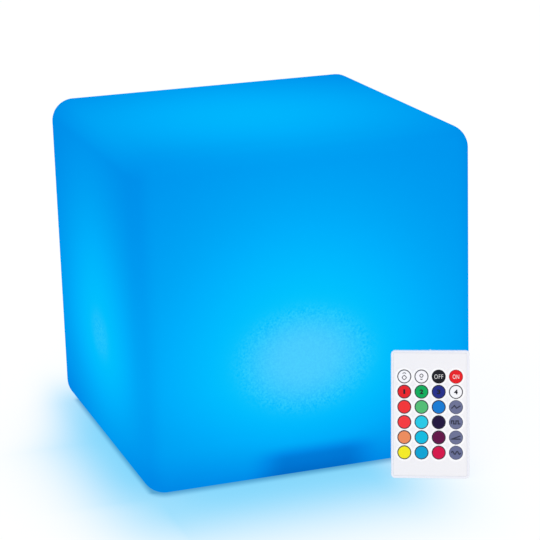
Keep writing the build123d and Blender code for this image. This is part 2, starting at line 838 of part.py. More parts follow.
def post_points():
    """Places between the keys where a post presses on the board."""
    points = []
    rows = key_points()
    for row in (0, key_rows // 2 - 1, key_rows - 2):
        y = rows[row][0][1] - key_pitch_y / 2
        points += [(x, y) for x in (-key_pitch_x, 0.0, key_pitch_x)]
    return points


def make_remote_faceplate():
    """The thin printed sheet in the face's pocket, with a hole for each key."""
    inset = faceplate_margin + faceplate_clearance
    sheet = case_block(remote_thickness - faceplate_thickness, remote_thickness, inset)
    for x, y in all_key_points():
        sheet -= disc(key_radius + key_clearance, face_underside, remote_thickness, x, y)
    return sheet


def make_key(x, y):
    """A round key, with the skirt that keeps it in and the well over its snap dome."""
    skirt_top = face_underside - key_skirt_gap
    skirt_bottom = remote_board_top + key_travel + key_stop_gap
    top = remote_thickness + key_proud
    key = disc(key_radius, skirt_bottom, top)
    key = fillet(circles(key, key_radius, top), key_edge_round)
    key += disc(key_radius + key_skirt_width, skirt_bottom, skirt_top)
    key -= disc(key_well_radius, skirt_bottom, skirt_bottom + key_well_depth)
    return Pos(x, y, 0) * key


def make_remote_board():
    """The remote's thin board, which rests on the ribs and on the case's split line."""
    inset = remote_wall + remote_board_clearance
    return case_block(remote_split, remote_board_top, inset)


def make_snap_domes():
    """The sprung metal domes under the keys."""
    one = Cone(snap_dome_radius, snap_dome_top_radius, snap_dome_height, align=BASE)
    return Compound([Pos(x, y, remote_board_top) * one for x, y in all_key_points()])


def make_remote_chip():
    """The remote's controller, under its board."""
    y = remote_length - first_row_inset - key_pitch_y
    return block(remote_chip_width, remote_chip_length, remote_split - remote_chip_height, remote_split, 0, y)


def make_ir_emitter():
    """The clear round lamp at the remote's top end."""
    barrel = Rot(-90, 0, 0) * Cylinder(emitter_radius, emitter_length, align=BASE)
    nose = Pos(0, emitter_length, 0) * Sphere(emitter_radius)
    start = remote_length + emitter_proud - emitter_radius - emitter_length
    return Pos(0, start, emitter_z()) * (barrel + nose)


def make_battery_contacts():
    """The two leaf contacts between the board and the coin cell."""
    top = remote_split
    bottom = remote_split - contact_thickness
    y = coin_centre_y + contact_shift
    middle = block(contact_width, contact_length, bottom, top, 0, y)
    side = block(contact_width, contact_length, bottom, top, contact_spacing, y)
    return Compound([middle, side])


def make_battery_tray():
    """The sliding tray: a floor and rim around the coin cell, and the grip at its mouth."""
    rim_top = coin_top - tray_rim_drop
    half = tray_width / 2
    tray = span_block((-half, half), (tray_face_inset, tray_length), (tray_bottom, rim_top))
    tray = fillet(tray.edges().filter_by(Axis.Z).sort_by(Axis.Y)[-2:], tray_corner)
    tray -= disc(coin_radius + coin_clearance, coin_bottom, rim_top, 0, coin_centre_y)
    grip_y = tray_face_inset + tray_grip_reach - tray_grip_radius
    return tray - disc(tray_grip_radius, rim_top - tray_grip_depth, rim_top, 0, grip_y)


def make_coin_cell():
    """The flat coin cell in the tray."""
    coin = disc(coin_radius, coin_bottom, coin_top, 0, coin_centre_y)
    return chamfer(circles(coin, coin_radius, coin_bottom), coin_edge_chamfer)


# ---------------------------------------------------------------- remote: where it stands
def remote_place():
    """The location that tilts the remote back, turns it and leans it on the front face."""
    yaw = radians(remote_yaw)
    tilt = radians(remote_tilt)
    across = (cos(yaw), sin(yaw), 0)
    outward = (sin(yaw) * cos(tilt), -cos(yaw) * cos(tilt), sin(tilt))
    turned = Plane(origin=(remote_x, 0, 0), x_dir=across, z_dir=outward).location
    box = (turned * case_envelope()).bounding_box()
    front_face = -cube_depth / 2
    drop = Pos(0, front_face - lean_gap - box.max.Y, -box.min.Z)
    return drop * turned


def save(shape, node):
    """Write one node's solids."""
    export_step(shape, f"parts/{node}.step")


def build():
    """Make every node and write it."""
    os.makedirs("parts", exist_ok=True)
    cube_parts = {
        "cube_shell": make_cube_shell,
        "base_plate": make_base_plate,
        "base_gasket": make_base_gasket,
        "base_screws": make_base_screws,
        "housing_seal": seal_ring,
        "unit_housing": make_unit_housing,
        "unit_screws": make_unit_screws,
        "diffuser_dome": make_diffuser_dome,
        "led_board": make_led_board,
        "leds": make_leds,
        "ir_receiver": make_ir_receiver,
        "led_harness": make_led_harness,
        "control_board": make_control_board,
        "controller_chip": make_controller_chip,
        "driver_transistors": make_driver_transistors,
        "smoothing_capacitor": make_smoothing_capacitor,
        "battery_cell": make_battery_cell,
        "battery_clamp": make_battery_clamp,
        "battery_leads": make_battery_leads,
        "tact_switch": make_tact_switch,
        "charge_socket": make_charge_socket,
        "charge_indicator": make_charge_indicator,
        "power_button": make_power_button,
        "port_flap": make_port_flap,
        "port_flap_anchor": make_flap_anchor,
    }
    for node, make in cube_parts.items():
        save(make(), node)
    remote_parts = {
        "remote_back_shell": make_remote_back_shell,
        "remote_front_shell": make_remote_front_shell,
        "remote_faceplate": make_remote_faceplate,
        "remote_board": make_remote_board,
        "remote_snap_domes": make_snap_domes,
        "remote_chip": make_remote_chip,
        "remote_ir_emitter": make_ir_emitter,
        "remote_battery_contacts": make_battery_contacts,
        "battery_tray": make_battery_tray,
        "coin_cell": make_coin_cell,
    }
    place = remote_place()
    for node, make in remote_parts.items():
        save(place * make(), node)
    for names, points in zip(KEY_NAMES, key_points()):
        for name, (x, y) in zip(names, points):
            save(place * make_key(x, y), name)


build()
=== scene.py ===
# %% [markdown]
# # A glowing cube light and its card remote
# The real object is a hollow cube of milky polyethylene, about 234 mm wide, with a lamp
# unit screwed into a round recess below. It is switched on and set to blue, so the wall
# itself is what shines. A thin white remote with round colour keys leans on the front.
# The CAD frame holds every solid at its real size. This lesson gives them their finish,
# and rebuilds as smooth surfaces the pieces that the eye rests on.

import json

import bmesh
import bpy
import numpy as np
from mathutils import Matrix, Vector


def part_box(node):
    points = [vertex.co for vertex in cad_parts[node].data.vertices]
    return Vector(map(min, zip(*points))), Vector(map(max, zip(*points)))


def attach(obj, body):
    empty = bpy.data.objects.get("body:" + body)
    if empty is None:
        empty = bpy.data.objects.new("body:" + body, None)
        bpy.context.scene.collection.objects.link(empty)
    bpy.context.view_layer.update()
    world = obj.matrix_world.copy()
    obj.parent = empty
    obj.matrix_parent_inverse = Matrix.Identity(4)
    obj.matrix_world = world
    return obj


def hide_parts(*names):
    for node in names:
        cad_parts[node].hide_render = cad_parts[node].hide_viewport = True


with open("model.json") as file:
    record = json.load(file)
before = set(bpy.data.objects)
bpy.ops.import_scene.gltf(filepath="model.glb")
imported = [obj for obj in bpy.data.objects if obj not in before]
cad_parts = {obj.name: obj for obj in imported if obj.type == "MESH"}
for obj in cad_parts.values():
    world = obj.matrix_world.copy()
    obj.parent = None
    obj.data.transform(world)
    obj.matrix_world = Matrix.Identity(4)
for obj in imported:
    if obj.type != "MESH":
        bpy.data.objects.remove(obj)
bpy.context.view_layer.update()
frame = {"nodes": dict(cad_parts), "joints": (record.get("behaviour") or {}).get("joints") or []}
nodes = frame["nodes"]
joints = {joint["name"]: joint for joint in frame["joints"]}

# %% [markdown]
# ## Sizes that come from the frame
# A piece made here has to sit exactly where its solid is. So nothing is typed twice: the
# cube's size is read from its solid, and the remote's own axes come from its joints. The
# remote leans, so its width, height and thickness lie along three slanted directions.

# %% Read the cube and the remote
MM = 0.001


def coordinates(mesh):
    """All the vertices of a mesh, as an array of points in metres."""
    flat = np.empty(len(mesh.vertices) * 3)
    mesh.vertices.foreach_get("co", flat)
    return flat.reshape(-1, 3)


def add_object(name, data):
    """A new object that shows some data, linked into the scene."""
    made = bpy.data.objects.new(name, data)
    bpy.context.scene.collection.objects.link(made)
    return made


shell_low, shell_high = (np.array(corner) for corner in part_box("cube_shell"))
cube_half = (shell_high[0] - shell_low[0]) / 2
cube_height = shell_high[2]
remote_out = np.array(joints["remote_lift_away"]["axis"])
remote_up = -np.array(joints["battery_tray_slide"]["axis"])
remote_axes = np.array([np.cross(remote_up, remote_out), remote_up, remote_out])


def in_remote(points):
    """Points of the frame along the remote's across, up and out directions."""
    return np.asarray(points) @ remote_axes.T


case_points = in_remote(coordinates(nodes["remote_back_shell"].data))
case_low, case_high = case_points.min(0), case_points.max(0)
remote_zero = np.array([(case_low[0] + case_high[0]) / 2, case_low[1], case_low[2]])


def from_remote(local):
    """Points given in the remote's own frame, put back into the frame of the cube."""
    return (np.asarray(local) + remote_zero) @ remote_axes


print("cube half width", round(cube_half, 4), "height", round(cube_height, 4))

# %% [markdown]
# ## The camera
# The photograph was taken from a little left of the front and a little above, with a long
# lens, so the cube's edges hardly converge. The camera is placed by an azimuth, an
# elevation and a distance from a point near the cube's middle, and it leans by under two
# degrees. Its matrix is built from its three axes, which leaves nothing to guess.

# %% Place the camera
camera_azimuth = np.radians(-18.568)
camera_elevation = np.radians(15.800)
camera_roll = np.radians(-1.728)
camera_distance = 1.46875
camera_aim = np.array([0.009265, -0.004062, 0.113819])
camera_lens = 138.65
sensor_width = 36.0


def add_camera():
    """Make the camera from its azimuth, elevation, roll and distance."""
    level = np.array([np.cos(camera_azimuth), np.sin(camera_azimuth), 0.0])
    back = np.array([
        np.sin(camera_azimuth) * np.cos(camera_elevation),
        -np.cos(camera_azimuth) * np.cos(camera_elevation),
        np.sin(camera_elevation),
    ])
    upward = np.cross(back, level)
    right = np.cos(camera_roll) * level + np.sin(camera_roll) * upward
    top = -np.sin(camera_roll) * level + np.cos(camera_roll) * upward
    data = bpy.data.cameras.new("camera")
    data.lens = camera_lens
    data.sensor_width = sensor_width
    camera = add_object("camera", data)
    matrix = np.eye(4)
    matrix[:3, 0], matrix[:3, 1], matrix[:3, 2] = right, top, back
    matrix[:3, 3] = camera_aim + camera_distance * back
    camera.matrix_world = Matrix(matrix.tolist())
    bpy.context.scene.camera = camera
    return matrix[:3, 3]


print("the camera stands at", add_camera().round(3))

# %% [markdown]
# ## Arithmetic on nodes
# A procedural finish is a small sum that is made at each point of the surface. Blender
# draws it as a tree of Math nodes, which soon fills the screen. Here a class stands for
# what a node puts out. Plus, minus, times, divide and power add a Math node each, so a
# finish in this lesson reads as the formula that it is.

# %% What a node puts out


class Output:
    """What a node puts out: a number, colour or vector. Sums with it add Math nodes."""

    def __init__(self, socket):
        self.socket = socket

    def __add__(self, other):
        return math_node("ADD", self, other)

    def __radd__(self, other):
        return math_node("ADD", other, self)

    def __sub__(self, other):
        return math_node("SUBTRACT", self, other)

    def __rsub__(self, other):
        return math_node("SUBTRACT", other, self)

    def __mul__(self, other):
        return math_node("MULTIPLY", self, other)

    def __truediv__(self, other):
        return math_node("DIVIDE", self, other)

    def __pow__(self, other):
        return math_node("POWER", self, other)

    def __neg__(self):
        return math_node("MULTIPLY", self, -1.0)

    def __abs__(self):
        return math_node("ABSOLUTE", self)


def tree_of(*values):
    """The node tree that the first output among some values belongs to."""
    return next(value.socket.id_data for value in values if isinstance(value, Output))


def feed(socket, value):
    """Link an output to a socket, or set the socket to a plain value."""
    if isinstance(value, Output):
        socket.id_data.links.new(value.socket, socket)
    elif isinstance(value, tuple) and socket.type == "RGBA":
        socket.default_value = (*value[:3], 1.0)
    else:
        socket.default_value = value


def feed_all(node, values):
    """Feed a node's inputs from a dictionary of their names."""
    for title, value in values.items():
        feed(node.inputs[title], value)


def math_node(operation, *values):
    """A Math node of one operation, fed by outputs or numbers."""
    node = tree_of(*values).nodes.new("ShaderNodeMath")
    node.operation = operation
    for socket, value in zip(node.inputs, values):
        feed(socket, value)
    return Output(node.outputs[0])


# %% [markdown]
# ## Curves
# Light fades along a bell curve and a printed edge along an S curve, so these two carry
# most of the finishes below. Each helper adds its nodes and gives back what they put out.

# %% Curves for a number


def largest(first, *others):
    """The largest of several values."""
    for other in others:
        first = math_node("MAXIMUM", first, other)
    return first


def past(value, start):
    """How far a value has gone past a start, and 0 before it."""
    return largest(value - start, 0.0)


def squared_over(value, width):
    """A value divided by a width, and squared."""
    share = value / width
    return share * share


def root(value):
    """The square root of a value."""
    return math_node("SQRT", value)


def exponential(value):
    """The number e to the power of a value."""
    return math_node("EXPONENT", value)


def bell(square):
    """A bell curve of a squared distance: e to the power of minus half of it."""
    return exponential(square * -0.5)


def lose(level, mask, loss):
    """The level less a share of itself where the mask is 1."""
    return level * (mask * -loss + 1.0)


def ease(value, low, high):
    """A soft step: 0 at low, 1 at high and an S curve between, whichever is larger."""
    node = tree_of(value).nodes.new("ShaderNodeMapRange")
    node.interpolation_type = "SMOOTHSTEP"
    (start, from_level), (end, to_level) = sorted([(low, 0.0), (high, 1.0)])
    feed_all(node, {"Value": value, "From Min": start, "From Max": end})
    feed_all(node, {"To Min": from_level, "To Max": to_level})
    return Output(node.outputs["Result"])


# %% [markdown]
# ## Places, noise and colours
# A place is read in the object's own metres, because a pattern then keeps its real size
# and stays on the piece when the piece moves. Noise at a place gives grain, and a mix or
# a ramp turns a number into a colour.

# %% Places and colours


def parts_of(vector):
    """The x, y and z of a vector."""
    node = tree_of(vector).nodes.new("ShaderNodeSeparateXYZ")
    feed(node.inputs[0], vector)
    return [Output(socket) for socket in node.outputs]


def point_of(tree):
    """The point being shaded, as a vector in metres."""
    return Output(tree.nodes.new("ShaderNodeTexCoord").outputs["Object"])


def place_of(tree):
    """The x, y and z of the point being shaded."""
    return parts_of(point_of(tree))


def facing_of(tree):
    """The x, y and z of the surface's direction."""
    return parts_of(Output(tree.nodes.new("ShaderNodeTexCoord").outputs["Normal"]))


def noise(point, scale, detail=3.0, stretch=None):
    """A noise of a given number of waves per metre, drawn out along an axis if asked."""
    tree = tree_of(point)
    if stretch:
        mapping = tree.nodes.new("ShaderNodeMapping")
        feed_all(mapping, {"Vector": point, "Scale": stretch})
        point = Output(mapping.outputs["Vector"])
    node = tree.nodes.new("ShaderNodeTexNoise")
    feed_all(node, {"Vector": point, "Scale": scale, "Detail": detail})
    return Output(node.outputs[0])


def mix(share, first, second, kind="MIX"):
    """Two colours mixed by a share between 0 and 1, or added or subtracted."""
    node = tree_of(share, first, second).nodes.new("ShaderNodeMix")
    node.data_type = "RGBA"
    node.blend_type = kind
    for place, value in zip((0, 6, 7), (share, first, second)):
        feed(node.inputs[place], value)
    return Output(node.outputs[2])


def ramp(value, stops):
    """A colour ramp through (place, colour) stops."""
    node = tree_of(value).nodes.new("ShaderNodeValToRGB")
    elements = node.color_ramp.elements
    elements[0].position, elements[1].position = stops[0][0], stops[-1][0]
    elements[0].color, elements[1].color = (*stops[0][1], 1.0), (*stops[-1][1], 1.0)
    for place, colour in stops[1:-1]:
        elements.new(place).color = (*colour, 1.0)
    feed(node.inputs["Fac"], value)
    return Output(node.outputs["Color"])


# %% [markdown]
# ## Groups and materials
# What several finishes share is a node group with named sockets, built once and placed in
# each material with its own values. A group holds no shader: it hands out heights, masks
# and colours, and the Principled shader stays in the material.

# %% Make groups and materials


def new_group(name, inputs, outputs):
    """An empty shader node group; returns its tree, what it is given, and its ends."""
    tree = bpy.data.node_groups.new(name, "ShaderNodeTree")
    for title, value in inputs.items():
        kind = "NodeSocketColor" if isinstance(value, tuple) else "NodeSocketFloat"
        socket = tree.interface.new_socket(title, in_out="INPUT", socket_type=kind)
        socket.default_value = (*value, 1.0) if isinstance(value, tuple) else value
    for title in outputs:
        kind = "NodeSocketColor" if title == "Colour" else "NodeSocketFloat"
        tree.interface.new_socket(title, in_out="OUTPUT", socket_type=kind)
    start = tree.nodes.new("NodeGroupInput")
    end = tree.nodes.new("NodeGroupOutput")
    return tree, {title: Output(start.outputs[title]) for title in inputs}, end.inputs


def use_group(tree, group, **values):
    """Place a group in a tree, fed by the names of its inputs; returns its outputs."""
    node = tree.nodes.new("ShaderNodeGroup")
    node.node_tree = group
    feed_all(node, values)
    return {socket.name: Output(socket) for socket in node.outputs}


def new_material(name, roughness, metallic=0.0, specular=0.5):
    """An empty material with its Principled shader; returns material, tree and shader."""
    material = bpy.data.materials.new(name)
    material.use_nodes = True
    shader = material.node_tree.nodes["Principled BSDF"]
    feed_all(shader, {"Roughness": roughness, "Metallic": metallic})
    feed(shader.inputs["Specular IOR Level"], specular)
    return material, material.node_tree, shader


def raise_grain(shader, height, strength, depth):
    """Feed a height to the shader's normal through a Bump node."""
    bump = tree_of(height).nodes.new("ShaderNodeBump")
    feed_all(bump, {"Strength": strength, "Distance": depth, "Height": height})
    feed(shader.inputs["Normal"], Output(bump.outputs["Normal"]))


# %% [markdown]
# ## Shared effects
# Moulded plastic is never quite even: its skin has a fine grain, and its colour drifts a
# little from place to place. Both come from noise in the object's own metres, so one
# group serves a cube of 234 mm and a key of 9 mm, each with its own scale. A second group
# finds the rounded edges, where a moulding wears and catches the light.

# %% Groups for grain and edges
coarse_scale = 0.13
fine_share = 0.75
edge_turn = 0.72


def make_grain_group():
    """Grain is two noises, fine and coarse, mixed three to one."""
    tree, given, ends = new_group("moulded_grain", {"Scale": 2000.0}, ["Height", "Drift"])
    point = point_of(tree)
    fine = noise(point, given["Scale"], 2.0)
    coarse = noise(point, given["Scale"] * coarse_scale, 2.0)
    feed(ends["Height"], fine * fine_share + coarse * (1 - fine_share))
    feed(ends["Drift"], coarse)
    return tree


def make_edge_group():
    """Edge is 0 on a face that looks along an axis and 1 where it turns to the next."""
    tree, _, ends = new_group("rounded_edges", {}, ["Edge"])
    facing = [abs(part) for part in facing_of(tree)]
    feed(ends["Edge"], ease(largest(*facing), 1.0, edge_turn))
    return tree


grain_group = make_grain_group()
edge_group = make_edge_group()
print("groups:", grain_group.name, "and", edge_group.name)

# %% [markdown]
# ## The glow on the side walls
# A lamp unit stands in the middle of the floor, shines mostly upwards, and the white
# inside of the cube spreads its light. So each side wall is brightest a third of the way
# up, opposite the lamps, and fades towards the corners. A bell across the wall times a
# bell up it gives that patch. It is wider above the lamps than below them.

# %% The side walls' level
lamp_middle = (-0.0064, -0.0100)
hot_height = 0.0815
hot_width = 0.0688
hot_rise = 0.0674
hot_rise_power = 1.81
hot_fall = 0.0426
wall_level = 0.282
band_lift = 0.016
hot_lift = 0.313
side_loss = 0.116
foot_height = 0.035
foot_loss = 0.21


def across_walls(x, y, facing, middle, width):
    """Squared distance from a wall's brightest upright line, over a width.

    A wall that faces along y is measured along x, and the reverse, so the share of each
    is the surface's own direction.
    """
    aside = (x - middle[0]) * facing[1]
    along = (y - middle[1]) * facing[0]
    return squared_over(aside, width) + squared_over(along, width)


def climb(above):
    """The height above the lamps as a square: a power 1.81 upwards, a square downwards."""
    higher = largest(above, 0.0)
    lower = math_node("MINIMUM", above, 0.0)
    return (higher / hot_rise) ** hot_rise_power + squared_over(lower, hot_fall)


def side_level(x, y, z, facing, sideways):
    """A wall's own level plus (band + hot spot across it) times the bell up it.

    The left and right walls are darker. The foot is too, but for the middle of those two.
    """
    spread = bell(across_walls(x, y, facing, lamp_middle, hot_width))
    level = (spread * hot_lift + band_lift) * bell(climb(z - hot_height)) + wall_level
    level = lose(level, sideways, side_loss)
    foot = lose(ease(z, foot_height, 0.0), sideways * spread, 1.0)
    return lose(level, foot, foot_loss)


# %% [markdown]
# ## The lamp unit's shadow and the lid
# Low in front, the unit's own body keeps the light off the wall, which leaves a soft dark
# patch. The lid has a broad, weaker bright patch over the lamps. It takes over where the
# wall turns upwards, by the surface's own direction, so no seam shows along the edge.

# %% Patch and lid
patch_top = 0.0213
patch_half = 0.0354
patch_soft = (0.006, 0.016)
patch_facing = (-0.05, -0.30)
lid_middle = (-0.0088, -0.0143)
lid_width = 0.1117
lid_level = 0.193
lid_lift = 0.265
lid_turn = (0.1, 0.9)


def foot_patch(x, z, facing):
    """1 in the soft dark patch low in the middle of the front."""
    low = ease(z, patch_top + patch_soft[0], patch_top - patch_soft[0])
    narrow = ease(abs(x), patch_half + patch_soft[1], patch_half - patch_soft[1])
    return low * narrow * ease(facing[1], *patch_facing)


def under_lid(level, x, y, facing):
    """The side's level, changed into the lid's where the wall turns up.

    The lid's is its own level plus one round bell.
    """
    aside, along = (squared_over(part - at, lid_width) for part, at in zip((x, y), lid_middle))
    lid = bell(aside + along) * lid_lift + lid_level
    return ease(facing[2], *lid_turn) * (lid - level) + level


# %% [markdown]
# ## The whitish spot and the frost
# Straight opposite the lamps the blue is so strong that it turns whitish. The share of
# white is a flat-topped bell: the squared distance is raised to a power before it goes
# into the exponent. The milky wall is also frosted inside, which shows as a fine grain
# where this spot fades out.

# %% Whitish share and frost
white_middle = (-0.0064, -0.0074)
white_height = 0.0840
white_reach = (0.0367, 0.0277)
white_power = 1.66
white_red = 0.0695
side_white_narrowing = 2.0
side_white_loss = 0.82
frost_scale = 850.0
frost_level = 0.30
frost_red = 0.062
frost_start = 0.2
frost_fade = 0.6


def white_share(x, y, z, facing, sideways):
    """How whitish the hot spot is: e to minus s to the power 1.66.

    s is the squared distance from its middle over its reach. The left and right walls
    have a smaller and far weaker spot.
    """
    total = squared_over(z - white_height, white_reach[1])
    total = total + across_walls(x, y, facing, white_middle, white_reach[0])
    total = total * (sideways * side_white_narrowing + 1.0)
    return lose(exponential(-(total**white_power)), sideways, side_white_loss)


def frost(point, white):
    """The grain of the frosted wall, from -0.5 to 0.5, where the spot begins to show.

    It is weaker in the middle of the spot.
    """
    grain = noise(point, frost_scale, 2.0) - 0.5
    return lose(grain * ease(white, 0.0, frost_start), white, frost_fade)


# %% [markdown]
# ## From level to colour
# All of this is one number so far. A ramp turns it into deep blue, azure and pale cyan, so
# the colours can be matched to the photograph one by one, apart from where they fall. The
# dark blue that the room's light adds to the wall is taken off again.

# %% The glow as a node group
patch_loss = 0.43
edge_loss = 0.03
wall_blue = (0.0, 0.040, 0.085)
GLOW_STOPS = (
    (0.10, (0.000, 0.100, 0.430)),
    (0.17, (0.000, 0.170, 0.630)),
    (0.25, (0.000, 0.250, 0.790)),
    (0.31, (0.000, 0.310, 0.854)),
    (0.37, (0.000, 0.370, 0.905)),
    (0.42, (0.000, 0.420, 0.956)),
    (0.49, (0.000, 0.490, 0.984)),
    (0.54, (0.000, 0.540, 0.977)),
    (0.64, (0.000, 0.640, 0.990)),
)


def make_glow_group():
    """The colour of the light: the ramp at the level, less the room's part, plus white.

    The level is the side's or the lid's, less the losses, plus the frost.
    """
    tree, _, ends = new_group("inner_light", {}, ["Colour"])
    point = point_of(tree)
    x, y, z = parts_of(point)
    facing = facing_of(tree)
    sideways = facing[0] * facing[0]
    level = side_level(x, y, z, facing, sideways)
    level = lose(level, foot_patch(x, z, facing), patch_loss)
    level = under_lid(level, x, y, facing)
    level = lose(level, use_group(tree, edge_group)["Edge"], edge_loss)
    white = white_share(x, y, z, facing, sideways)
    frosted = frost(point, white)
    glow = ramp(frosted * frost_level + level, GLOW_STOPS)
    glow = mix(1.0, glow, wall_blue, "SUBTRACT")
    red = frosted * (frost_red / white_red) + white
    whitish = mix(red, (0.0, 0.0, 0.0), (white_red, 0.0, 0.0))
    feed(ends["Colour"], mix(1.0, glow, whitish, "ADD"))
    return tree


glow_group = make_glow_group()
print("the glow takes", len(glow_group.nodes), "nodes")

# %% [markdown]
# ## The wall's finish
# The wall is matt and slightly grainy, and almost all that is seen of it is its own
# light. The colour of that light goes to Emission Color, at a strength of 1, so the blue
# renders as it is written. A dark blue below it takes the room's light, so that the
# edges still turn when the lamps outside move. It has no gloss, because a white gloss
# would wash out the saturated blue.

# %% The glowing material
glow_strength = 1.0
wall_grain = 1500.0
wall_drift = 1.15


def make_glowing_shell():
    """Milky polyethylene lit from inside."""
    material, tree, shader = new_material("glowing_shell", 0.62, specular=0.0)
    feed(shader.inputs["Emission Color"], use_group(tree, glow_group)["Colour"])
    feed(shader.inputs["Emission Strength"], glow_strength)
    grain = use_group(tree, grain_group, Scale=wall_grain)
    paler = tuple(wall_drift * part for part in wall_blue)
    feed(shader.inputs["Base Color"], mix(grain["Drift"], wall_blue, paler))
    raise_grain(shader, grain["Height"], 0.25, 0.2 * MM)
    return material


shell_material = make_glowing_shell()
print("the wall's finish is", shell_material.name)

# %% [markdown]
# ## Surfaces from profiles
# Every smooth piece here is a profile carried round an axis or along an outline. The grid
# of points is worked out as one array, and faces join each ring to the next. The first
# and last ring may shrink to a point: merging the doubles then closes the pole.

# %% Grid to mesh


def grid_faces(rings, steps):
    """Quads between neighbouring rings, each ring closed on itself."""
    ring = np.arange(rings - 1)[:, None] * steps
    step = np.arange(steps)[None, :]
    after = (step + 1) % steps
    quads = np.stack([ring + step, ring + after, ring + steps + after, ring + steps + step], -1)
    return quads.reshape(-1, 4)


def new_piece(name, points, faces, material):
    """An object from points and faces, its doubles merged, facing outwards."""
    mesh = bpy.data.meshes.new(name)
    mesh.from_pydata(points.reshape(-1, 3).tolist(), [], faces)
    mesh.materials.append(material)
    piece = add_object(name, mesh)
    close_up(mesh)
    return piece


def close_up(mesh, distance=1e-7):
    """Merge doubles, drop faces that shrank to nothing and turn the rest outwards."""
    work = bmesh.new()
    work.from_mesh(mesh)
    bmesh.ops.remove_doubles(work, verts=work.verts, dist=distance)
    bmesh.ops.dissolve_degenerate(work, dist=distance, edges=work.edges)
    bmesh.ops.recalc_face_normals(work, faces=work.faces)
    work.to_mesh(mesh)
    work.free()


def smooth_piece(name, rings, material):
    """A smooth object from rings of points."""
    piece = new_piece(name, rings, grid_faces(*rings.shape[:2]).tolist(), material)
    piece.data.shade_smooth()
    return piece


# %% [markdown]
# ## The cube's outline
# Seen from above the cube is a rounded square: a core square pushed out by a radius. Up
# the wall the core stays and the radius grows and shrinks with the rounded edge, so the
# corners come out as parts of a sphere. Underneath, the outline changes into the round
# recess, so each step also has its direction on a circle.

# %% The rounded outline
corner_steps = 12
side_steps = 22
circle_share = 0.1


def square_outline():
    """Core corner, outward direction and round direction for each step of the outline.

    A side runs between two core corners and faces one way; a corner stays and turns.
    """
    spacing = np.sin(np.pi / 2 * np.linspace(-1, 1, side_steps))
    turn = np.linspace(0, np.pi / 2, corner_steps + 2)[1:-1]
    core, facing = [], []
    for quarter in range(4):
        angle = quarter * np.pi / 2
        spin = np.array([[np.cos(angle), -np.sin(angle)], [np.sin(angle), np.cos(angle)]])
        side = np.stack([np.ones_like(spacing), spacing], 1)
        corner = np.ones((corner_steps, 2))
        core.append(np.concatenate([side, corner]) @ spin.T)
        out = np.stack([np.cos(turn), np.sin(turn)], 1)
        ahead = np.tile([1.0, 0.0], (side_steps, 1))
        facing.append(np.concatenate([ahead, out]) @ spin.T)
    core, facing = np.concatenate(core), np.concatenate(facing)
    seen_from_middle = (1 - circle_share) * core + circle_share * facing
    length = np.linalg.norm(seen_from_middle, axis=1, keepdims=True)
    return core, facing, seen_from_middle / length


def carried(stations):
    """Rings of points; a station is half size, corner radius, roundness and height."""
    core, facing, circle = square_outline()
    half, radius, roundness, height = (column[:, None, None] for column in stations.T)
    square = core * (half - radius) + facing * radius
    flat = square * (1 - roundness) + circle * half * roundness
    tall = np.broadcast_to(height, (*flat.shape[:2], 1))
    return np.concatenate([flat, tall], -1)


print("the outline has", len(square_outline()[0]), "steps")

# %% [markdown]
# ## The wall's stations
# The outline is carried through stations: from the lid's middle over the rounded edge,
# down the side and under the foot. An inset of one wall gives the inner skin. It runs
# back up inside, which makes one closed skin with a real thickness.

# %% Outer and inner skin
corner_radius = 16 * MM
wall = 3 * MM
lid_rings = 14
side_rings = 36
edge_steps = 14


def arc(centre, radius, start, end, steps=edge_steps):
    """Points on an arc in the half size and height plane, by angle from straight up."""
    turn = np.radians(np.linspace(start, end, steps))
    return centre[0] + radius * np.sin(turn), centre[1] + radius * np.cos(turn)


def station_rows(half, height, core=None, roundness=0.0):
    """Rows of stations; what sticks out beyond the core is the corner's radius."""
    half, height = np.broadcast_arrays(np.atleast_1d(half), np.atleast_1d(height))
    radius = np.zeros_like(half) if core is None else half - core
    return np.stack([half, radius, np.zeros_like(half) + roundness, height], 1)


def wall_skin(inset):
    """Stations from the lid's middle to the edge of the underside, inset by a wall."""
    core = cube_half - corner_radius
    radius = corner_radius - inset
    top, bottom = cube_height - inset, inset
    upper = arc((core, top - radius), radius, 0, 90)
    lower = arc((core, bottom + radius), radius, 90, 180)
    sides = np.linspace(top - radius, bottom + radius, side_rings)[1:-1]
    return np.concatenate([
        station_rows(np.linspace(0, core, lid_rings)[:-1], top),
        station_rows(*upper, core=core),
        station_rows(core + radius, sides, core=core),
        station_rows(*lower, core=core),
    ])


print("the outer skin has", len(wall_skin(0.0)), "stations")

# %% [markdown]
# ## The recess underneath
# The real cube is moulded with a round well in its foot, and the lamp unit is screwed in
# from below against a seat. The same stations draw it: the flat foot turns from square to
# round, a small mouth rounds into the well, and the seat ends at the hole for the unit.

# %% Recess and wall
recess_radius = 60 * MM
recess_mouth = 2.4 * MM
recess_corner = 1.5 * MM
foot_steps = 8
mouth_steps = 6
seat_steps = 5
hair = 0.1 * MM


def seal_opening():
    """The radius of the hole that the lamp unit passes through."""
    gasket = coordinates(nodes["base_gasket"].data)
    return np.hypot(gasket[:, 0], gasket[:, 1]).min()


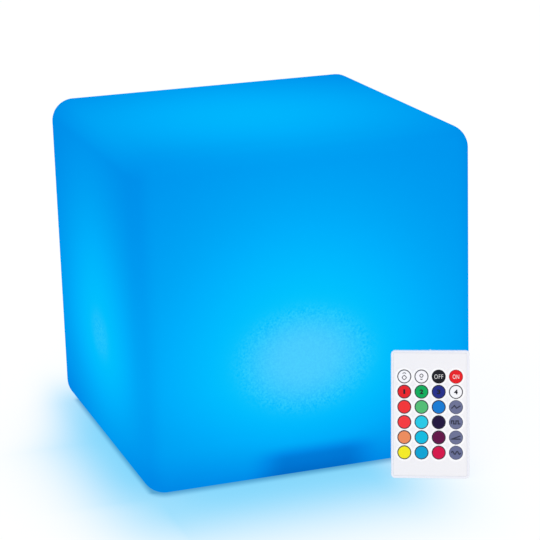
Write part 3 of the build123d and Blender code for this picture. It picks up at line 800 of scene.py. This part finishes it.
def recess_stations():
    """Stations of the underside: flat, mouth, recess wall, seat, and the seat's back."""
    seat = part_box("base_gasket")[1][2]
    opening = seal_opening()
    core = cube_half - corner_radius
    mouth = recess_radius + recess_mouth
    share = np.linspace(0, 1, foot_steps)[1:]
    flat = station_rows(core + (mouth - core) * share, 0.0)
    flat[:, 2] = share
    turn = arc((mouth, recess_mouth), recess_mouth, 180, 270, mouth_steps)
    middle = (recess_radius - recess_corner, seat - recess_corner)
    inner = arc(middle, recess_corner, 90, 0, seat_steps)
    outside = recess_radius + wall
    back = np.array([opening, outside - hair, outside, outside, outside])
    levels = np.array([seat + wall, seat + wall, seat + wall - hair, wall + hair, wall])
    floor = station_rows(outside + (core - outside) * share, wall)
    floor[:, 2] = 1 - share
    return np.concatenate([
        flat,
        station_rows(*turn, roundness=1.0),
        station_rows(*inner, roundness=1.0),
        station_rows([opening, opening], [seat, seat + hair], roundness=1.0),
        station_rows(back, levels, roundness=1.0),
        floor,
    ])


def make_shell():
    """The cube's wall, as one closed skin."""
    stations = np.concatenate([wall_skin(0.0), recess_stations(), wall_skin(wall)[::-1]])
    piece = smooth_piece("shell", carried(stations), shell_material)
    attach(piece, "cube")
    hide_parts("cube_shell")
    return piece


shell = make_shell()
print("the wall has", len(shell.data.polygons), "faces")

# %% [markdown]
# ## The keys
# A key is a round cap turned about its own axis: a faintly crowned top, a small rounded
# rim, a straight side and the skirt that keeps it in the case. The places come from the
# CAD keys, so only the profile is written here.

# %% A turned key
key_steps = 64
crown_steps = 8
rim_steps = 7
key_rim = 0.35 * MM
key_crown = 0.06 * MM
key_top_band = 0.6 * MM
key_skirt = 0.4 * MM
key_skirt_height = 0.5 * MM
key_well = 3.2 * MM
key_well_depth = 0.45 * MM


def key_span(node):
    """A key's centre, its radius at the top, and its low and high level, in metres."""
    local = in_remote(coordinates(nodes[node].data)) - remote_zero
    low, high = local.min(0), local.max(0)
    top = local[local[:, 2] > high[2] - key_top_band]
    centre = (low + high)[:2] / 2
    return centre, np.hypot(*(top[:, :2] - centre).T).max(), low[2], high[2]


def crown_fall(away, radius):
    """How far the crown has fallen: by the square of the distance from the middle."""
    return key_crown * (away / (radius - key_rim)) ** 2


def key_profile(radius, bottom, top):
    """Radius and level from the crown's middle, over an arc for the rim, to the well's."""
    reach = np.linspace(0, radius - key_rim, crown_steps)
    turn = np.radians(np.linspace(0, 90, rim_steps))[1:]
    skirt = radius + key_skirt
    around = np.array([radius, skirt, skirt, key_well, key_well, 0.0])
    rises = [key_skirt_height, key_skirt_height, 0.0, 0.0, key_well_depth, key_well_depth]
    rim = top - key_crown - key_rim + key_rim * np.cos(turn)
    spread = np.concatenate([reach, radius - key_rim + key_rim * np.sin(turn), around])
    height = np.concatenate([top - crown_fall(reach, radius), rim, bottom + np.array(rises)])
    return spread, height


def turned(spread, height, centre, steps=key_steps):
    """Rings of points: each radius carried round the axis at its level."""
    angle = np.linspace(0, 2 * np.pi, steps, endpoint=False)
    x = centre[0] + spread[:, None] * np.cos(angle)
    y = centre[1] + spread[:, None] * np.sin(angle)
    return np.stack([x, y, np.broadcast_to(height[:, None], x.shape)], -1)


print("a key is", round(2 * key_span("key_on")[1] / MM, 2), "mm wide")

# %% [markdown]
# ## The paint of a key
# Each key has its own colour with a painted shade darker at its rim, and most have a thin dark ring
# just inside the rim.
# The remote leans, so a ring drawn from Object coordinates would need its tilt. Instead
# each cap gets a map of its own, flat across its top and centred on its axis, in which
# the distance from the middle is all that the ring has to know.

# %% Map and paint
MAP_UNIT = 10 * MM
ring_edge = (0.56 * MM / MAP_UNIT, 0.44 * MM / MAP_UNIT)
rim_shade_band = 0.5 * MM / MAP_UNIT
rim_shade_loss = 0.20
# The colour of the thin dark ring just inside a key's rim.
dark_ring_colour = (0.03, 0.03, 0.05)
ring_cover = 0.9
UNRINGED = ("key_off", "key_on", "key_flash", "key_strobe", "key_fade", "key_smooth")


def map_key(piece, centre):
    """Give a key a map in centimetres, centred on its axis."""
    mesh = piece.data
    local = (in_remote(coordinates(mesh)) - remote_zero)[:, :2] - centre
    corner = np.empty(len(mesh.loops), int)
    mesh.loops.foreach_get("vertex_index", corner)
    layer = mesh.uv_layers.new(name="key_map")
    layer.uv.foreach_set("vector", (local[corner] / MAP_UNIT).ravel())


def make_key_group():
    """A cap's paint: its colour, a painted shade darker at the rim, and a thin dark ring."""
    inputs = {"Paint": (0.5, 0.5, 0.5), "Ring": 1.0, "Rim": 0.4}
    tree, given, ends = new_group("cap_colour_and_shade", inputs, ["Colour"])
    where = tree.nodes.new("ShaderNodeUVMap")
    where.uv_map = "key_map"
    length = tree.nodes.new("ShaderNodeVectorMath")
    length.operation = "LENGTH"
    feed(length.inputs[0], Output(where.outputs[0]))
    inwards = given["Rim"] - Output(length.outputs["Value"])
    ring = ease(inwards, *ring_edge) * given["Ring"]
    # Painted shade: the cap's colour turns a fifth darker in a narrow band at its rim.
    paint = mix(ease(inwards, rim_shade_band, 0.0) * rim_shade_loss, given["Paint"], (0.0, 0.0, 0.0))
    feed(ends["Colour"], mix(ring, paint, dark_ring_colour))
    return tree


key_group = make_key_group()


def make_key_material(node, colour, radius):
    """Printed, half-glossy plastic in the key's own colour."""
    material, tree, shader = new_material(node + "_cap", 0.34, specular=0.08)
    cover = 0.0 if node in UNRINGED else ring_cover
    paint = use_group(tree, key_group, Paint=colour, Ring=cover, Rim=radius / MAP_UNIT)
    feed(shader.inputs["Base Color"], paint["Colour"])
    grain = use_group(tree, grain_group, Scale=9000.0)
    raise_grain(shader, grain["Height"], 0.12, 0.03 * MM)
    return material


# %% [markdown]
# ## The 24 caps
# Below the first row, three columns run from red to yellow, from green to blue and from
# blue to magenta. The last one holds white and four keys in a dull blue. The colours are
# written as linear light, so the numbers are smaller than the keys look. They were set by
# trial on the render, because the light round the remote changes them.

# %% Turn and paint every key
KEY_COLOURS = {
    "key_brighter": (0.92, 0.91, 0.94),
    "key_dimmer": (0.92, 0.90, 0.94),
    "key_off": (0.012, 0.012, 0.018),
    "key_on": (0.78, 0.014, 0.020),
    "key_red": (0.80, 0.016, 0.024),
    "key_green": (0.002, 0.395, 0.102),
    "key_blue": (0.016, 0.026, 0.235),
    "key_white": (0.90, 0.89, 0.92),
    "key_scarlet": (0.870, 0.034, 0.038),
    "key_light_green": (0.085, 0.490, 0.170),
    "key_azure": (0.006, 0.190, 0.620),
    "key_flash": (0.150, 0.165, 0.290),
    "key_vermilion": (0.900, 0.042, 0.050),
    "key_cyan": (0.018, 0.560, 0.750),
    "key_indigo": (0.013, 0.005, 0.045),
    "key_strobe": (0.150, 0.165, 0.290),
    "key_orange": (0.830, 0.255, 0.106),
    "key_sky_blue": (0.003, 0.480, 0.710),
    "key_plum": (0.118, 0.005, 0.060),
    "key_fade": (0.150, 0.165, 0.290),
    "key_yellow": (0.890, 0.800, 0.018),
    "key_teal_blue": (0.001, 0.350, 0.620),
    "key_magenta": (0.640, 0.006, 0.066),
    "key_smooth": (0.136, 0.152, 0.285),
}


def make_cap(node, colour):
    """One key as a smooth turned cap, riding on its own body."""
    centre, radius, bottom, top = key_span(node)
    rings = from_remote(turned(*key_profile(radius, bottom, top), centre))
    paint = make_key_material(node, colour, radius)
    piece = smooth_piece(node.replace("key_", "cap_"), rings, paint)
    map_key(piece, centre)
    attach(piece, node)
    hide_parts(node)
    return piece


caps = [make_cap(node, colour) for node, colour in KEY_COLOURS.items()]
print("turned", len(caps), "keys")

# %% [markdown]
# ## Strokes and words
# The signs on the keys are plain ones: suns for brighter and dimmer, numbers on the first
# four colours, and a wave form for each way that the light can change. A sign is a stroke
# of one width along a path, worked out here. A word or a number is Blender's own text,
# made a mesh before it is put in its place.

# %% Flat artwork
sharpest_turn = 0.4


def stroke(path, width, closed=False):
    """A flat ribbon along a path: each point is pushed both ways across the path.

    The push is half the width over the cosine of half the turn, so corners stay sharp.
    The cosine is kept above a limit, so that a very sharp corner isn't drawn out far.
    """
    path = np.asarray(path, float)
    ahead = np.roll(path, -1, 0) - path
    behind = path - np.roll(path, 1, 0)
    if not closed:
        ahead[-1], behind[0] = behind[-1], ahead[0]
    ahead /= np.linalg.norm(ahead, axis=1, keepdims=True)
    behind /= np.linalg.norm(behind, axis=1, keepdims=True)
    middle = ahead + behind
    middle /= np.linalg.norm(middle, axis=1, keepdims=True)
    push = np.stack([-middle[:, 1], middle[:, 0]], 1)
    push *= width / 2 / (middle * ahead).sum(1, keepdims=True).clip(sharpest_turn)
    return np.concatenate([path + push, path - push])


def stroke_faces(count, closed=False):
    """Quads that join the two sides of a ribbon."""
    step = np.arange(count if closed else count - 1)
    after = (step + 1) % count
    return np.stack([step, after, after + count, step + count], 1)


def several(*strokes):
    """Join strokes into one list of points and one of faces."""
    points, faces, start = [], [], 0
    for path, width, closed in strokes:
        ribbon = stroke(path, width, closed)
        points.append(ribbon)
        faces.append(stroke_faces(len(path), closed) + start)
        start += len(ribbon)
    return np.concatenate(points), np.concatenate(faces).tolist()


def word(text, height, width, weight=0.006):
    """A word as flat points and faces, centred, drawn to a height and width."""
    curve = bpy.data.curves.new("word", "FONT")
    curve.body = text
    curve.resolution_u = 4
    curve.offset = weight
    curve.space_character = 1.12
    holder = add_object("word", curve)
    mesh = bpy.data.meshes.new_from_object(holder)
    points = coordinates(mesh)[:, :2]
    low, high = points.min(0), points.max(0)
    faces = [list(polygon.vertices) for polygon in mesh.polygons]
    bpy.data.objects.remove(holder)
    bpy.data.meshes.remove(mesh)
    return (points - (low + high) / 2) * np.array([width, height]) / (high - low), faces


# %% [markdown]
# ## Ink on the keys
# Screen-print ink lies on a key as a film a few hundredths of a millimetre thick. So the
# artwork is laid on the crown, which falls away a little towards the rim, and Solidify
# gives it its thickness. Each film rides on its key and moves with it.

# %% Ink and the printing function
ink_depth = 0.03 * MM
ink_gain = 1.2
ink_lift = 0.01


def make_ink(name, colour):
    """Screen-print ink: a flat colour with the faint unevenness of a print."""
    material, tree, shader = new_material(name, 0.5, specular=0.12)
    patchy = noise(point_of(tree), 6000.0)
    lighter = tuple(min(1.0, ink_gain * part + ink_lift) for part in colour)
    feed(shader.inputs["Base Color"], mix(patchy, colour, lighter))
    raise_grain(shader, patchy, 0.1, 0.01 * MM)
    return material


dark_ink = make_ink("dark_ink", (0.006, 0.006, 0.014))
grey_ink = make_ink("grey_ink", (0.050, 0.050, 0.065))
white_ink = make_ink("white_ink", (0.80, 0.79, 0.78))
slate_ink = make_ink("slate_ink", (0.028, 0.032, 0.062))


def printed(node, points, faces, ink):
    """Lay flat artwork, given in millimetres round the key's middle, on its crown."""
    centre, radius, _, top = key_span(node)
    offset = np.asarray(points) * MM
    level = top - crown_fall(np.hypot(*offset.T), radius) + ink_depth
    local = np.column_stack([offset + centre, level])
    piece = new_piece(node.replace("key_", "print_"), from_remote(local), faces, ink)
    face_the_front(piece.data)
    film = piece.modifiers.new("film", "SOLIDIFY")
    film.thickness = ink_depth * 2
    film.offset = -1.0
    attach(piece, node)
    node + "_cap"
    print("printed", piece.name)


def face_the_front(mesh):
    """Turn a flat print over if it looks into the key."""
    if len(mesh.polygons) and np.dot(mesh.polygons[0].normal, remote_out) < 0:
        mesh.flip_normals()


# %% [markdown]
# ## The signs
# Paths are given in millimetres from the key's middle. A straight run gets a point every
# quarter of a millimetre, because a long flat stroke would cut through the crown.

# %% Draw and print the signs
line = 0.5
bold_line = 0.8
ray_gap = 0.1


def circle_path(radius, centre=(0.0, 0.0), steps=32):
    """Points round a circle."""
    angle = np.linspace(0, 2 * np.pi, steps, endpoint=False)
    return np.stack([centre[0] + radius * np.cos(angle), centre[1] + radius * np.sin(angle)], 1)


def straight_path(corners, step=0.25):
    """Straight runs from corner to corner, with points close enough to follow the crown."""
    runs = []
    for start, end in zip(corners[:-1], corners[1:]):
        start, end = np.array(start), np.array(end)
        count = max(2, int(np.hypot(*(end - start)) / step))
        runs.append(start + (end - start) * np.linspace(0, 1, count, endpoint=False)[:, None])
    return np.concatenate(runs + [np.array([corners[-1]])])


def smooth_wave(width, height, waves=2, steps=41):
    """A sine of a number of waves, drawn to a width and height."""
    share = np.linspace(0, 1, steps)
    return np.stack([(share - 0.5) * width, np.sin(waves * 2 * np.pi * share) * height], 1)


def square_wave(width, height, turns=2):
    """The corners of a square wave."""
    across = np.linspace(-width / 2, width / 2, 2 * turns + 1)
    corners = [(across[0], -height)]
    for i, (start, end) in enumerate(zip(across[:-1], across[1:])):
        level = height if i % 2 == 0 else -height
        corners += [(start, level), (end, level)]
    return corners


def sun(radius, middle, ray, mark):
    """A small sun: a ring, four short rays, and a bent mark above or below it."""
    reach = np.array([radius + ray_gap, radius + ray])
    beams = [
        (np.outer(reach, [np.cos(a), np.sin(a)]) + [0.0, middle], line, False)
        for a in np.arange(4) * np.pi / 2
    ]
    ring = (circle_path(radius, (0.0, middle)), line, True)
    return several(ring, (straight_path(mark), line, False), *beams)


def print_signs():
    """Put a sign, a number or a word on each key of the first rows and last column."""
    bright = [(-1.2, 2.0), (0.0, 2.5), (1.2, 2.0)]
    dim = [(-0.8, -1.6), (0.0, -2.0), (0.8, -1.6)]
    printed("key_brighter", *sun(1.25, -0.7, 0.45, bright), grey_ink)
    printed("key_dimmer", *sun(1.05, 0.6, 0.30, dim), grey_ink)
    printed("key_off", *word("OFF", 2.9, 5.9, -0.012), white_ink)
    printed("key_on", *word("ON", 2.9, 4.2, -0.006), white_ink)
    widths = {"key_red": 1.3, "key_green": 2.5, "key_blue": 2.5, "key_white": 2.5}
    for number, (node, width) in enumerate(widths.items(), 1):
        printed(node, *word(str(number), 3.1, width, 0.045), dark_ink)
    signs = {
        "key_flash": straight_path([(-3.0, -1.0), (-1.0, 1.1), (0.4, -0.7), (3.0, 1.0)]),
        "key_strobe": straight_path(square_wave(6.0, 1.0)),
        "key_fade": straight_path([(3.0, 1.1), (-2.8, -1.0), (3.0, -1.0)]),
        "key_smooth": smooth_wave(6.2, 0.95),
    }
    for node, path in signs.items():
        printed(node, *several((path, bold_line, False)), slate_ink)


print_signs()

# %% [markdown]
# ## Finishes for the carried-over pieces
# The pieces inside and under the cube keep their CAD shape and get what the real ones are
# made of. Most are moulded plastic, rubber, plated steel or a printed board, so four
# makers cover them, each with its own colour, grain and roughness.

# %% Four makers
rim_gain = 1.06
rim_lift = 0.004
streak_shade = 0.82
streak_rough = 0.22
track_scale = 260.0
track_edge = (0.10, 0.05)
drift_share = 0.12


def moulded(name, colour, roughness=0.5, scale=4000.0, depth=0.04 * MM, lighter=1.12, specular=0.4):
    """Moulded plastic or rubber: grain, a colour that drifts by a few percent, and rims paler from
    wear and from a painted highlight.
    """
    material, tree, shader = new_material(name, roughness, specular=specular)
    grain = use_group(tree, grain_group, Scale=scale)
    pale = tuple(min(1.0, lighter * part) for part in colour)
    # Rims paler by about 6 %: partly wear, partly a painted highlight where the edges catch the
    # light.
    rim = tuple(min(1.0, rim_gain * part + rim_lift) for part in colour)
    worn = mix(grain["Drift"], colour, pale)
    edges = use_group(tree, edge_group)["Edge"]
    feed(shader.inputs["Base Color"], mix(edges, worn, rim))
    raise_grain(shader, grain["Height"], 0.3, depth)
    return material


def plated(name, colour, roughness=0.32, stretch=(1.0, 1.0, 8.0)):
    """Plated or drawn metal: fine streaks in its height and its roughness."""
    material, tree, shader = new_material(name, roughness, metallic=1.0)
    streak = noise(point_of(tree), 1800.0, 4.0, stretch)
    darker = tuple(streak_shade * part for part in colour)
    feed(shader.inputs["Base Color"], mix(streak, darker, colour))
    feed(shader.inputs["Roughness"], streak * streak_rough + (roughness - 0.1))
    raise_grain(shader, streak, 0.15, 0.02 * MM)
    return material


def circuit(name, colour, copper):
    """A printed board: tracks under the lacquer show as slightly paler runs."""
    material, tree, shader = new_material(name, 0.35)
    cells = tree.nodes.new("ShaderNodeTexVoronoi")
    cells.distance = "MANHATTAN"
    cells.feature = "DISTANCE_TO_EDGE"
    feed_all(cells, {"Vector": point_of(tree), "Scale": track_scale})
    track = ease(Output(cells.outputs["Distance"]), *track_edge)
    feed(shader.inputs["Base Color"], mix(track, colour, copper))
    raise_grain(shader, track, 0.4, 0.04 * MM)
    return material


def split_finish(name, chooser, first, second, roughness=0.4, metal=False):
    """Two finishes on one piece, told apart by a mask; the second may be metal."""
    material, tree, shader = new_material(name, roughness)
    mask = chooser(tree)
    grain = use_group(tree, grain_group, Scale=4000.0)
    drift = mix(grain["Drift"] * drift_share, mix(mask, first, second), (1.0, 1.0, 1.0))
    feed(shader.inputs["Base Color"], drift)
    if metal:
        feed(shader.inputs["Metallic"], mask)
    raise_grain(shader, grain["Height"], 0.2, 0.03 * MM)
    return material


# %% [markdown]
# ## Pieces of two finishes
# Some solids hold two materials: the charging socket with its pin, the cell with its
# sleeve and bare ends, the lamps with their wells, and wires of different colours. The
# finish tells them apart by place, with masks measured from the solids themselves.

# %% Masks by place
socket_middle = [sum(pair) / 2 for pair in zip(*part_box("charge_socket"))]
pin_reach = (1.7 * MM, 1.5 * MM)
cell_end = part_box("battery_cell")[1][0]
sleeve_inset = (2.1 * MM, 1.7 * MM)
lamp_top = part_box("leds")[1][2]
well_depth = (0.1 * MM, 0.3 * MM)
well_facing = (0.7, 0.9)
harness_turns = 1.99


def near_pin(tree):
    """1 within the charging pin's reach of the socket's axis."""
    x, y, _ = place_of(tree)
    dx, dy = x - socket_middle[0], y - socket_middle[1]
    return ease(root(dx * dx + dy * dy), *pin_reach)


def cell_ends(tree):
    """1 on the bare ends of the cell, past its sleeve."""
    return ease(abs(place_of(tree)[0]), *(cell_end - inset for inset in sleeve_inset))


def right_hand(tree):
    """1 on the wire to the right of the middle."""
    return ease(place_of(tree)[0], -MM, MM)


def lamp_wells(tree):
    """1 in the sunk wells of the lamps, which lie below their rims and look up."""
    sunk = ease(place_of(tree)[2], *(lamp_top - depth for depth in well_depth))
    return sunk * ease(facing_of(tree)[2], *well_facing)


def wire_colours(tree):
    """0 to 1 across the harness, twice, so that its wires differ."""
    low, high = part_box("led_harness")
    share = (place_of(tree)[0] - low[0]) / (high[0] - low[0])
    return math_node("FRACT", share * harness_turns)


print("the charging pin stands at", [round(value, 4) for value in socket_middle])

# %% [markdown]
# ## Dress the pieces
# A carried-over node keeps its mesh, so dressing it only changes its material slot. Dark
# matt plastic for the unit, foam and rubber for the seals, and black resin round the chips
# are what such lights are made of. The front of the remote's case, its battery tray, the
# socket's flap and the flap's anchor keep the plain plastic and rubber of the frame.

# %% Plastics and rubber


def dress(material, *names):
    """Give the CAD nodes of these names one material."""
    for name in names:
        slots = nodes[name].data.materials
        slots.clear()
        slots.append(material)
    print("dressed", len(names), "in", material.name)


dress(moulded("black_plastic", (0.026, 0.027, 0.030), 0.48, 3200.0), "base_plate", "unit_housing")
dress(moulded("grey_foam", (0.10, 0.10, 0.11), 0.9, 2600.0, 0.3 * MM, 1.5, 0.1), "base_gasket")
dress(moulded("black_rubber", (0.020, 0.020, 0.021), 0.72, 2400.0), "housing_seal")
dress(moulded("milky_dome", (0.78, 0.82, 0.86), 0.38, 2500.0), "diffuser_dome")
dress(moulded("grey_button", (0.50, 0.51, 0.53), 0.42, 5200.0), "power_button")
CHIPS = ("controller_chip", "remote_chip", "driver_transistors", "ir_receiver", "tact_switch")
dress(moulded("chip_epoxy", (0.021, 0.021, 0.023), 0.42, 7000.0), *CHIPS)
CLEAR_LAMPS = ("charge_indicator", "remote_ir_emitter")
dress(moulded("clear_epoxy", (0.74, 0.79, 0.85), 0.12, 1200.0), *CLEAR_LAMPS)
case_plastic = moulded("remote_case", (0.90, 0.88, 0.89), 0.40, 5200.0, 0.02 * MM, 1.02, 0.15)
dress(case_plastic, "remote_back_shell")

# %% [markdown]
# ## Metals, boards and wires
# Zinc on the screws, spring steel for clamp and contacts, and lacquer over copper for the
# boards. The pieces of two finishes each bring one of the masks above, which says where
# the second colour lies and, on the cell and the socket, where it is metal.

# %% Metals, boards and pieces of two finishes
SPRINGS = ("battery_clamp", "remote_snap_domes", "remote_battery_contacts")
dress(plated("zinc_plate", (0.62, 0.62, 0.60)), "base_screws", "unit_screws")
dress(plated("spring_steel", (0.66, 0.66, 0.67), 0.26), *SPRINGS)
dress(plated("coin_steel", (0.72, 0.72, 0.73), 0.22, (6.0, 1.0, 1.0)), "coin_cell")
dress(plated("drawn_can", (0.74, 0.75, 0.77), 0.28), "smoothing_capacitor")
green_board = circuit("green_board", (0.010, 0.110, 0.040), (0.030, 0.210, 0.080))
dress(green_board, "control_board", "remote_board")
dress(circuit("white_board", (0.72, 0.72, 0.70), (0.82, 0.82, 0.80)), "led_board")
SPLIT_FINISHES = {
    "leds": ("lamp_package", lamp_wells, (0.82, 0.82, 0.80), (0.80, 0.62, 0.10)),
    "battery_cell": ("cell_sleeve", cell_ends, (0.02, 0.13, 0.38), (0.7, 0.7, 0.7), 0.34, True),
    "battery_leads": ("lead_insulation", right_hand, (0.015, 0.015, 0.016), (0.55, 0.02, 0.02)),
    "led_harness": ("harness_insulation", wire_colours, (0.05, 0.05, 0.32), (0.72, 0.60, 0.10)),
    "charge_socket": ("socket", near_pin, (0.022, 0.022, 0.024), (0.75, 0.72, 0.62), 0.35, True),
}
for node, finish in SPLIT_FINISHES.items():
    dress(split_finish(*finish), node)

# %% [markdown]
# ## The face sheet
# The face of the remote is a thin printed sheet in nearly the colour of the case. Round
# each key it is paler. Keys and rings share one pitch, so the ring needs no list of
# places: dividing by the pitch and rounding finds the nearest key at once.

# %% The face sheet's finish
face_colour = (0.84, 0.825, 0.85)
ring_colour = (0.97, 0.96, 0.975)
ring_reach = (5.3 * MM, 6.4 * MM)
key_gaps = (3, 5)


def along(point, axis, start):
    """How far a point lies along an axis, from a start."""
    product = tree_of(point).nodes.new("ShaderNodeVectorMath")
    product.operation = "DOT_PRODUCT"
    feed(product.inputs[0], point)
    product.inputs[1].default_value = axis
    return Output(product.outputs["Value"]) - start


def from_nearest_key(tree):
    """The distance to the nearest key: across and along the remote, less that key's place."""
    point = point_of(tree)
    first, last = key_span("key_brighter")[0], key_span("key_smooth")[0]
    total = 0.0
    for i, gaps in enumerate(key_gaps):
        pitch = (last - first)[i] / gaps
        place = along(point, remote_axes[i], remote_zero[i] + first[i])
        index = math_node("MINIMUM", largest(math_node("ROUND", place / pitch), 0.0), gaps)
        offset = place - index * pitch
        total = offset * offset + total
    return root(total)


def make_face():
    """The face sheet: moulded plastic that is paler in a ring round each key."""
    material = moulded("remote_face", face_colour, 0.34, 8000.0, 0.008 * MM, 1.02, 0.12)
    paint = material.node_tree.nodes["Principled BSDF"].inputs["Base Color"]
    ring = ease(from_nearest_key(material.node_tree), *ring_reach[::-1])
    feed(paint, mix(ring, Output(paint.links[0].from_socket), ring_colour))
    return material


dress(make_face(), "remote_faceplate")

# %% [markdown]
# ## The light on the floor
# The cube's blue falls on the floor round its foot, most of all in front and on the left.
# It fades along bells of the distances from the foot. The corner and the floor past it
# see both walls at a slant, so they get a little less.

# %% The halo in front and on the left
halo_inset = 0.0078
halo_front = 0.0659
halo_side = 0.0336
halo_power = 2.18
halo_back_start = 0.0076
halo_back = 0.120
halo_narrowing = 0.107
halo_behind_start = 0.090
halo_behind = 0.042
halo_right_start = 0.030
halo_right = 0.0324
halo_corner = 0.0225
halo_corner_loss = 0.116
halo_cross = 0.0178
halo_cross_loss = 0.177


def near_halo(x, y):
    """The share of blue: a bell of the distances in front and to the left.

    The left's halo grows weaker and narrower towards the back. Both are weaker at their
    corner, and past it, where the two distances multiply.
    """
    to_back = past(y, halo_back_start)
    left, in_front = (past(-part, cube_half - halo_inset) for part in (x, y))
    left = left * (to_back * (1 / halo_narrowing) + 1.0)
    reaches = (
        (in_front, halo_front, halo_power),
        (left, halo_side, halo_power),
        (to_back, halo_back, 2.0),
        (past(y, halo_behind_start), halo_behind, 2.0),
        (past(x, halo_right_start), halo_right, 2.0),
    )
    halo = bell(sum((distance / width) ** power for distance, width, power in reaches))
    corner = sum(squared_over(part + cube_half, halo_corner) for part in (x, y))
    halo = lose(halo, bell(corner), halo_corner_loss)
    crossed = in_front * left / (halo_cross**2 / 2)
    return lose(halo, 1.0 - bell(crossed), halo_cross_loss)


# %% [markdown]
# ## The far side of the floor
# The photograph doesn't show the floor right behind the cube, but the same light falls
# there. A halo somewhat weaker goes round the two far sides, and it is eased in, so that
# it leaves the part in front as it is.

# %% The halo behind and on the right
far_halo_back = 0.048
far_halo_side = 0.0264
far_halo_level = 0.9
far_halo_from = ((-0.10, 0.0), (0.03, 0.11))


def far_halo(x, y):
    """The halo behind the cube and on its right: a bell of both distances, eased in."""
    behind = squared_over(past(y, cube_half), far_halo_back)
    aside = squared_over(past(x, cube_half), far_halo_side)
    eased = ease(x, *far_halo_from[0]) * ease(y, *far_halo_from[1])
    return bell(behind + aside) * eased * far_halo_level


# %% [markdown]
# ## The shade at the foot
# Under the rounded edge hardly any light gets in, so a thin dark line runs along the foot
# and sets the cube on the floor. Its width changes from front to side, so it is drawn
# between two ellipses.

# %% The contact shade
contact_side = (0.008, 0.0135)
contact_front = (0.002, 0.0145)
contact_strength = 0.64


def contact_shade(x, y):
    """The shade under the cube's rounded edge, by the distance from its flat underside.

    It is full up to an inner ellipse and gone at an outer one. In between, its share is the
    place on the line from the first to the second, eased.
    """
    aside, ahead = (past(abs(part), cube_half - corner_radius) for part in (x, y))
    inner, outer = (
        root(squared_over(aside, side) + squared_over(ahead, front))
        for side, front in zip(contact_side, contact_front)
    )
    gone = outer * (inner - 1.0) / (inner - outer)
    return ease(gone, 1.0, 0.0) * contact_strength


# %% [markdown]
# ## The floor
# The floor is pale and runs far past the picture. Most of its light is its own, at a level
# near 1, so it stays white and lights the upright faces as evenly as the room lights the
# lid. The blue is only in the light that is looked at, so it does not tint the white
# remote. From below the floor is see-through, so the underside can be looked at too.

# %% Make the floor
floor_half = 8.0
floor_level = -0.1 * MM
halo_blue = (0.255, 0.705, 0.965)
contact_blue = (0.0, 0.225, 0.450)
floor_white = (1.0, 1.0, 1.0)
floor_shade = 0.14
floor_own_light = 0.88


def seen_by_eye(tree):
    """1 for what is looked at straight, in a reflection or through something clear."""
    rays = tree.nodes.new("ShaderNodeLightPath").outputs
    kinds = ("Is Camera Ray", "Is Glossy Ray", "Is Transmission Ray")
    return largest(*(Output(rays[kind]) for kind in kinds))


def floor_material():
    """A pale matt floor, partly lit by itself so that it stays white."""
    material, tree, shader = new_material("pale_floor", 0.9, specular=0.0)
    x, y, _ = place_of(tree)
    paint = mix(largest(near_halo(x, y), far_halo(x, y)), floor_white, halo_blue)
    paint = mix(contact_shade(x, y), paint, contact_blue)
    feed(shader.inputs["Base Color"], mix(floor_shade, (0.0, 0.0, 0.0), paint))
    feed(shader.inputs["Emission Color"], mix(seen_by_eye(tree), floor_white, paint))
    feed(shader.inputs["Emission Strength"], floor_own_light)
    from_below = Output(tree.nodes.new("ShaderNodeNewGeometry").outputs["Backfacing"])
    feed(shader.inputs["Alpha"], 1.0 - from_below)
    return material


def make_floor():
    """One wide square just below the foot."""
    corners = np.array([(-1, -1, 0), (1, -1, 0), (1, 1, 0), (-1, 1, 0)]) * floor_half
    corners[:, 2] = floor_level
    mesh = bpy.data.meshes.new("floor")
    mesh.from_pydata(corners.tolist(), [], [(0, 1, 2, 3)])
    mesh.materials.append(floor_material())
    floor = add_object("floor", mesh)


make_floor()
print("the floor is", 2 * floor_half, "m wide")

# %% [markdown]
# ## The room's light
# The photograph has hardly any shadow, so the light comes from everywhere: an even white
# world, a little under full so that white plastic doesn't clip, and full white only where
# it is looked at. One large soft lamp in front on the left gives the forms their side.

# %% World and lamp
room_level = 0.90
lamp_power = 12.0
lamp_size = 1.6
lamp_place = (-0.9, -1.6, 2.2)
lamp_aim = (0.0, 0.0, 0.1)


def make_room():
    """An even white world, full white where it is seen."""
    world = bpy.data.worlds.new("room")
    world.use_nodes = True
    background = world.node_tree.nodes["Background"]
    feed(background.inputs["Color"], (1.0, 1.0, 1.0))
    seen = seen_by_eye(world.node_tree)
    feed(background.inputs["Strength"], seen * (1.0 - room_level) + room_level)
    bpy.context.scene.world = world


def make_lamp():
    """A large square soft lamp, turned towards the cube."""
    light = bpy.data.lights.new("soft_lamp", "AREA")
    light.shape = "SQUARE"
    light.size = lamp_size
    light.energy = lamp_power
    lamp = add_object("soft_lamp", light)
    lamp.location = lamp_place
    lamp.rotation_mode = "QUATERNION"
    lamp.rotation_quaternion = (Vector(lamp_aim) - lamp.location).to_track_quat("-Z", "Y")


make_room()
make_lamp()
bpy.context.scene.view_settings.view_transform = "Standard"
print("the room's light is at", room_level)
